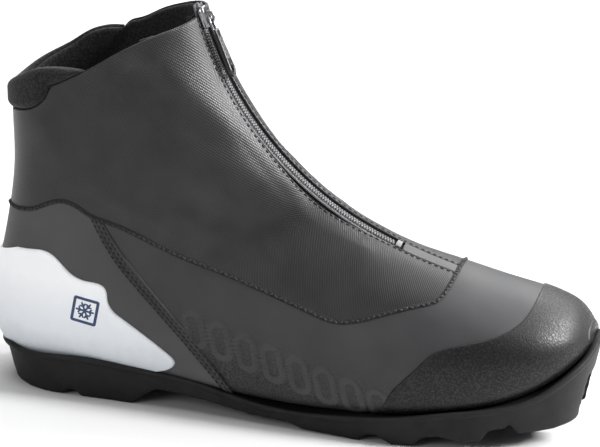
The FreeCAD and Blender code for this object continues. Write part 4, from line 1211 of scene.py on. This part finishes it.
def heel_cuff():
    """Padded knit cuff round the back of the collar, tapering out along the woven edge."""
    drop = np.array([(-100.9, 160.0), (-99.0, 120.0)])
    outline = by_side({side: all_of(right_of(np.concatenate([CUFF_RIM[side], drop])),
                                    left_of(woven_top(side))) for side in CUFF_RIM})
    patch = Patch(upper_surface, np.linspace(3.5, 24.5, 250), np.linspace(0.2, 4.2, 150))
    patch.add("edge", outline).trim("edge", 0.12, 0.5, 1.1, 2.0, 3.0, CUFF_ROUND)
    over = swell(patch.values["edge"], CUFF_ROUND)
    piece = shell("heel_cuff", patch, -2.1 + 4.4 * over, -2.2 - 1.9 * over, MATERIALS["knit"],
                  sharp=80)
    finish_piece(piece, ["collar_cuff"])


def lining_top(side):
    """Top edge of the lining on one side: the cuff's rim, then just below the woven edge."""
    rim, collar = CUFF_RIM[side], COLLAR[side]
    return np.concatenate([rim, collar[collar[:, 0] > rim[-1, 0] + 1]]) - np.array([0, 0.7])


def inner_lining():
    """Padded knit lining inside the whole boot, up to the rim of the cuff."""
    below = by_side({side: right_of(lining_top(side)) for side in CUFF_RIM})
    above_cloth = by_side({side: left_of(woven_top(side)) for side in CUFF_RIM})
    outline = all_of(below, left_of(RIM + np.array([0, 1.0])))
    patch = Patch(upper_surface, np.linspace(0, 28, 180), np.linspace(0.3, 15.6, 300))
    patch.add("edge", outline).trim("edge", 0.2, 0.8, LINING_ROUND)
    over = swell(patch.values["edge"], LINING_ROUND)
    raised = np.clip((above_cloth(patch.points, patch.normals, patch.uv) + 8) / 9, 0, 1)
    raised *= np.clip((-97 - patch.points[:, 0]) / 10, 0, 1)
    shift = -2.5 * raised ** 2 * (3 - 2 * raised)
    piece = shell("inner_lining", patch, -3.2 + 1.5 * over + shift, -3.3 - 1.7 * over + shift,
                  MATERIALS["knit"], sharp=80)
    finish_piece(piece, ["shaft_lining", "heel_lining", "forefoot_lining"])


def soft_inner(name, source, voxel, material):
    """A padded inner piece from its CAD solid, with its edges softened."""
    moulded(name, [source], voxel, 8, material)


# ---- zip
TAPE_TOP, TAPE_BASE = -0.7, -1.3
COIL_PITCH, COIL_RISE = 1.45, 0.15


def on_zip(angle, aside, height):
    """A point over the zip's track, and the normal there."""
    spot, normal = zip_surface(np.array([[angle, aside]]))
    return spot[0] + normal[0] * height, normal[0]


def zip_tapes():
    """Ribbed tapes of the zip, each with a row of single coil turns and a row of stitches."""
    angles = ZIP_BOTTOM - ZIP_TOP
    count = int(math.radians(angles) * ZIP_RADIUS / COIL_PITCH)
    for side, sign, lead in (("lateral", -1, 1.0), ("medial", 1, 0.5)):
        vs = np.sort(sign * np.linspace(0.75, 3.95, 9))
        patch = Patch(zip_surface, np.linspace(ZIP_TOP, ZIP_BOTTOM, 360), vs)
        along = np.radians(patch.uv[:, 0]) * ZIP_RADIUS
        rib = (0.06 * np.cos(2 * np.pi * along / COIL_PITCH)
               + 0.05 * np.cos(2 * np.pi * patch.uv[:, 1] / 0.8))
        piece = shell("tape_" + side, patch, TAPE_TOP + rib, TAPE_BASE, MATERIALS["tape"])
        finish_piece(piece, ["zip_tape_" + side])
        turns = []
        for tooth in range(count):
            angle = ZIP_TOP + (tooth + lead) * angles / (count + 1)
            spot, normal = on_zip(angle, sign * 1.2, COIL_RISE)
            turns.append((spot, np.array([0, sign * 1.0, 0]), normal))
        add_rods("coil_" + side, turns, 2.9, 0.56, "coil", "coil_nylon",
                 ["zip_coil_" + side], arch=0.45, flat=1.15)
        chain = np.array([[angle, sign * 2.95] for angle in np.linspace(ZIP_TOP, ZIP_BOTTOM, 200)])
        points, normals = zip_surface(chain)
        add_rods("coil_row_" + side, spaced(points + normals * (TAPE_TOP + 0.1), normals, 1.9),
                 1.5, 0.2, "tack", "tape_grey", rings=5, sides=6)


def bar_tack():
    """Tight bar of thread across the zip's lower end."""
    wraps = []
    for turn in range(5):
        spot, normal = on_zip(ZIP_BOTTOM + 0.12 + 0.17 * turn, 0.0, 1.5 + 0.05 * (turn % 2))
        wraps.append((spot, np.array([0.0, 1, 0]), normal))
    add_rods("bar_tack", wraps, 9.0, 0.36, "tack", "stitching", ["zip_bottom_stop"],
             arch=1.2, rings=11)


def axes_at(turn):
    """Axes at an angle in radians about the track's centre: down it, across it, outwards."""
    down = np.array([-math.sin(turn), 0, math.cos(turn)])
    out = np.array([-math.cos(turn), 0, -math.sin(turn)])
    return np.stack([down, np.cross(out, down), out], 1)


def rounded_outline(points, radius):
    """Field that is positive inside a straight-sided outline with rounded corners."""
    corners = np.array(points, float)

    def field(spots, normals, uv):
        inside, near = np.full(len(spots), FAR), np.full(len(spots), FAR)
        for a, b in zip(corners, np.roll(corners, -1, axis=0)):
            run, rel = b - a, spots[:, :2] - a
            way = unit(run)
            inside = np.minimum(inside, way[0] * rel[:, 1] - way[1] * rel[:, 0])
            share = np.clip((rel @ run) / (run @ run), 0, 1)
            near = np.minimum(near, np.linalg.norm(rel - share[:, None] * run, axis=1))
        return np.where(inside > 0, near, -near) + radius

    return field


TUBE_SIDES, TUBE_STEP, ASIDE = 10, 0.4, np.array([0.3, 0.9, 0.2])


def wire(name, points, radius, body, nodes=()):
    """A round metal rod that follows a smooth line."""
    line = smooth(points, TUBE_STEP)
    run = unit(np.gradient(line, axis=0))
    side = unit(np.cross(run, ASIDE))
    turns = 2 * np.pi * np.arange(TUBE_SIDES) / TUBE_SIDES
    profile = [(radius * math.cos(turn), radius * math.sin(turn)) for turn in turns]
    piece = sweep(name, line, side, np.cross(run, side), profile, MATERIALS["slider"], closed=False)
    finish_piece(piece, nodes, body)


SLIDER_ANGLE, PLATE_HEIGHT = 199.5, 2.0


def slider():
    """Zip slider: a waisted top plate with side flanges, and the loop that holds the pull."""
    x, z = on_track(SLIDER_ANGLE, ZIP_RADIUS)
    origin, axes = np.array([x, ZIP_Y, z]), axes_at(math.radians(SLIDER_ANGLE))
    outline = [(5.1, -1.4), (5.1, 1.4), (2.0, 2.5), (-3.0, 3.5), (-4.9, 2.6), (-4.9, -2.6),
               (-3.0, -3.5), (2.0, -2.5)]
    patch = Patch(flat_surface, np.linspace(-6.4, 6.4, 70), np.linspace(-4.6, 4.6, 50))
    patch.add("edge", rounded_outline(outline, 0.35)).trim("edge", 0.1, 0.35, 0.8)
    crown = 0.35 * np.clip(1 - (patch.uv[:, 0] / 6) ** 2, 0, 1)
    top = PLATE_HEIGHT + 0.8 + crown + rounded(patch.values["edge"], 0.8, 0.7)
    piece = shell("slider_body", patch, top, PLATE_HEIGHT - 0.55, MATERIALS["slider"],
                  (origin, axes))
    finish_piece(piece, ["zip_slider"], "zip_slider")
    flange = [(-4.4, 3.1, 0.9), (-2.5, 3.35, 0.9), (0, 3.2, 0.9), (4.6, 2.2, 0.9)]
    bail = [(-2.2, 0, PLATE_HEIGHT + 0.6), (-2.0, 0, 4.6), (-0.6, 0, 5.9), (1.6, 0, 6.0),
            (3.4, 0, 4.9), (3.9, 0, PLATE_HEIGHT + 0.6)]
    for name, line, sign, radius in (("slider_flange_lateral", flange, -1, 0.8),
                                     ("slider_flange_medial", flange, 1, 0.8),
                                     ("slider_bail", bail, 1, 0.62)):
        spots = [origin + axes @ np.array((x, sign * y, z)) for x, y, z in line]
        wire(name, spots, radius, "zip_slider")


PULL_TILT = math.radians(5)
GRIP_START, GRIP_END, GRIP_NECK, GRIP_RADIUS, GRIP_HOLE = 6.0, 26.5, 2.9, 4.1, 1.75


def grip_field(points, normals, uv):
    """Positive inside the pull's grip, which widens to a disc with a hole."""
    x, y = points[:, 0], points[:, 1]
    share = np.clip((x - GRIP_START) / (GRIP_END - GRIP_START), 0, 1)
    half = GRIP_NECK + (GRIP_RADIUS - GRIP_NECK) * share ** 2
    neck = np.minimum(half - np.abs(y), np.minimum(x - GRIP_START + 0.4, GRIP_END - x + 0.3))
    from_end = np.hypot(x - GRIP_END, y)
    return np.minimum(np.maximum(neck, GRIP_RADIUS - from_end), from_end - GRIP_HOLE)


def pull():
    """Moulded pull on a wire link, hanging from the slider's loop."""
    pivot = np.array(PULL_JOINT) / MM
    axes = axes_at(math.atan2(pivot[2] - CENTRE[1], pivot[0] - CENTRE[0]) + PULL_TILT)
    half = [(0.6, -0.2), (-0.6, -1.2), (0.2, -2.2), (3.5, -2.4), (7.6, -2.3)]
    loop = half[::-1] + [(x, -y) for x, y in half]
    wire("pull_link", [pivot + axes @ np.array((x, y, 0.0)) for x, y in loop], 0.68, "zip_pull",
         ["zip_pull_link"])
    patch = Patch(flat_surface, np.linspace(4.5, 32, 150), np.linspace(-5, 5, 60))
    patch.add("edge", grip_field).trim("edge", 0.1, 0.35, 0.8, 1.25)
    edge, x = patch.values["edge"], patch.uv[:, 0]
    height = 0.45 + swell(edge, 1.25)
    ribs = 0.198 * np.cos(2 * np.pi * (x - 10) / 2.2) * ((x > 9.4) & (x < 21) & (edge > 1.0))
    piece = shell("pull_grip", patch, height - ribs, -height, MATERIALS["pull"], (pivot, axes))
    finish_piece(piece, ["zip_pull_grip"], "zip_pull")


# ---- sole
LATERAL_RIM = [(-148.5, 0), (-145.5, -14), (-137, -25.5), (-122, -33.5), (-100, -37), (-75, -37.5),
               (-45, -38.5), (-10, -41.5), (25, -46), (58, -49.5), (88, -47), (112, -40.5),
               (131, -30), (142.5, -20), (149.3, -7), (151.8, 9)]
MEDIAL_RIM = [(149.3, 25), (142.5, 38), (131, 46), (112, 51), (88, 52), (58, 49), (25, 43),
              (-10, 38.5), (-45, 37), (-75, 36.5), (-100, 36), (-122, 32.5), (-137, 25),
              (-145.5, 14)]
BEAD_BACK = [(-160, 18.8), (-148.5, 19.1), (-144, 19.9), (-140, 20.4)]


def rim_bead():
    """Rounded lip round the top of the sole."""
    plan = closed_smooth(LATERAL_RIM + MEDIAL_RIM, 1.5)
    level = np.concatenate([BEAD_BACK, RIM[RIM[:, 0] > BEAD_BACK[-1][0]]])
    path = np.column_stack([plan, np.interp(plan[:, 0], level[:, 0], level[:, 1])])
    run = unit(np.roll(path, -1, axis=0) - np.roll(path, 1, axis=0))
    outward = unit(np.column_stack([run[:, 1], -run[:, 0], np.zeros(len(run))]))
    up = np.cross(outward, run)
    up *= np.sign(up[:, 2])[:, None]
    profile = [(-3.2, -3.2), (-3.1, -0.3), (-2.3, 0.25), (-1.2, 0.5), (-0.5, 0.5), (0.05, 0.3),
               (0.4, -0.1), (0.5, -0.7), (0.35, -1.6), (-0.3, -2.6), (-1.6, -3.4)]
    piece = sweep("rim_bead", path, outward, up, profile, MATERIALS["sole"])
    finish_piece(piece)


def sole():
    """Moulded sole with its tread, and the lip round its top."""
    moulded("outsole", ["outsole_frame", "heel_tread", "forefoot_tread"], 1.0, 5, "sole")
    rim_bead()


CARRIED = {
    "toe_bar": "steel", "bar_insert": "insert", "shank_plate": "steel", "heel_cushion": "foam",
    "lasting_board": "board", "toe_puff": "stiffener", "internal_counter": "stiffener",
    "insulation_layer": "foam", "eyestay_lateral": "rear", "eyestay_medial": "rear",
    "eyelets": "steel", "zip_guard": "knit", "zip_top_stops": "steel",
}


def carried_over():
    """CAD parts that keep their shape and take a finished material."""
    for name, material in CARRIED.items():
        coat(NODES[name], material)


# ---- stage
def add_area(name, place, size, power):
    """A soft light that faces the boot's middle."""
    data = bpy.data.lights.new(name, "AREA")
    data.shape, data.size, data.size_y, data.energy = "RECTANGLE", *size, power
    light = bpy.data.objects.new(name, data)
    direction = Vector((0, 0, 0.09)) - Vector(place)
    light.matrix_world = (Matrix.Translation(Vector(place))
                          @ direction.to_track_quat("-Z", "Y").to_matrix().to_4x4())
    bpy.context.scene.collection.objects.link(light)


def add_around(name, azimuth, elevation, distance, size, power):
    """A soft light in a direction from the boot, in degrees."""
    flat, up = math.radians(azimuth), math.radians(elevation)
    reach = distance * math.cos(up)
    add_area(name, (reach * math.cos(flat), reach * math.sin(flat), distance * math.sin(up)),
             size, power)


def add_stage():
    """Plain pale floor and soft studio light."""
    half = 12.0
    mesh = bpy.data.meshes.new("floor")
    mesh.from_pydata([(-half, -half, 0), (half, -half, 0), (half, half, 0), (-half, half, 0)], [],
                     [(0, 1, 2, 3)])
    mesh.materials.append(shader("floor_pale", (0.62, 0.62, 0.62), 0.9)[0])
    floor = bpy.data.objects.new("floor", mesh)
    bpy.context.scene.collection.objects.link(floor)
    world = bpy.data.worlds.new("studio")
    world.use_nodes = True
    background = world.node_tree.nodes["Background"].inputs
    background["Color"].default_value, background["Strength"].default_value = (1, 1, 1, 1), 0.16
    bpy.context.scene.world = world
    add_area("top_softbox", (0.0, 0.3, 1.7), (2.4, 2.4), 34)
    add_around("front_strip", 4, 34, 1.6, (0.28, 0.5), 42)
    add_around("toe_softbox", 38, 38, 1.6, (0.4, 0.36), 18)
    add_around("back_softbox", 84, 30, 1.9, (1.8, 0.6), 16)
    add_around("side_fill", -122, 24, 2.0, (1.0, 0.9), 10)
    scene = bpy.context.scene
    scene.view_settings.view_transform = "Standard"
    scene.view_settings.look = "None"


# ---- build
add_camera()
add_stage()
carried_over()
sole()
rear_shell()
front_shell()
toe_cap()
heel_counter()
heel_mark()
panels = {side: woven_panel(side) for side in ("lateral", "medial")}
zip_edge_rows(panels)
seam_binding()
placket()
for side in ("lateral", "medial"):
    piping(side)
heel_cuff()
inner_lining()
soft_inner("tongue_pad", "tongue", 0.9, "knit")
soft_inner("insole", "footbed", 1.3, "footbed")
zip_tapes()
bar_tack()
slider()
pull()
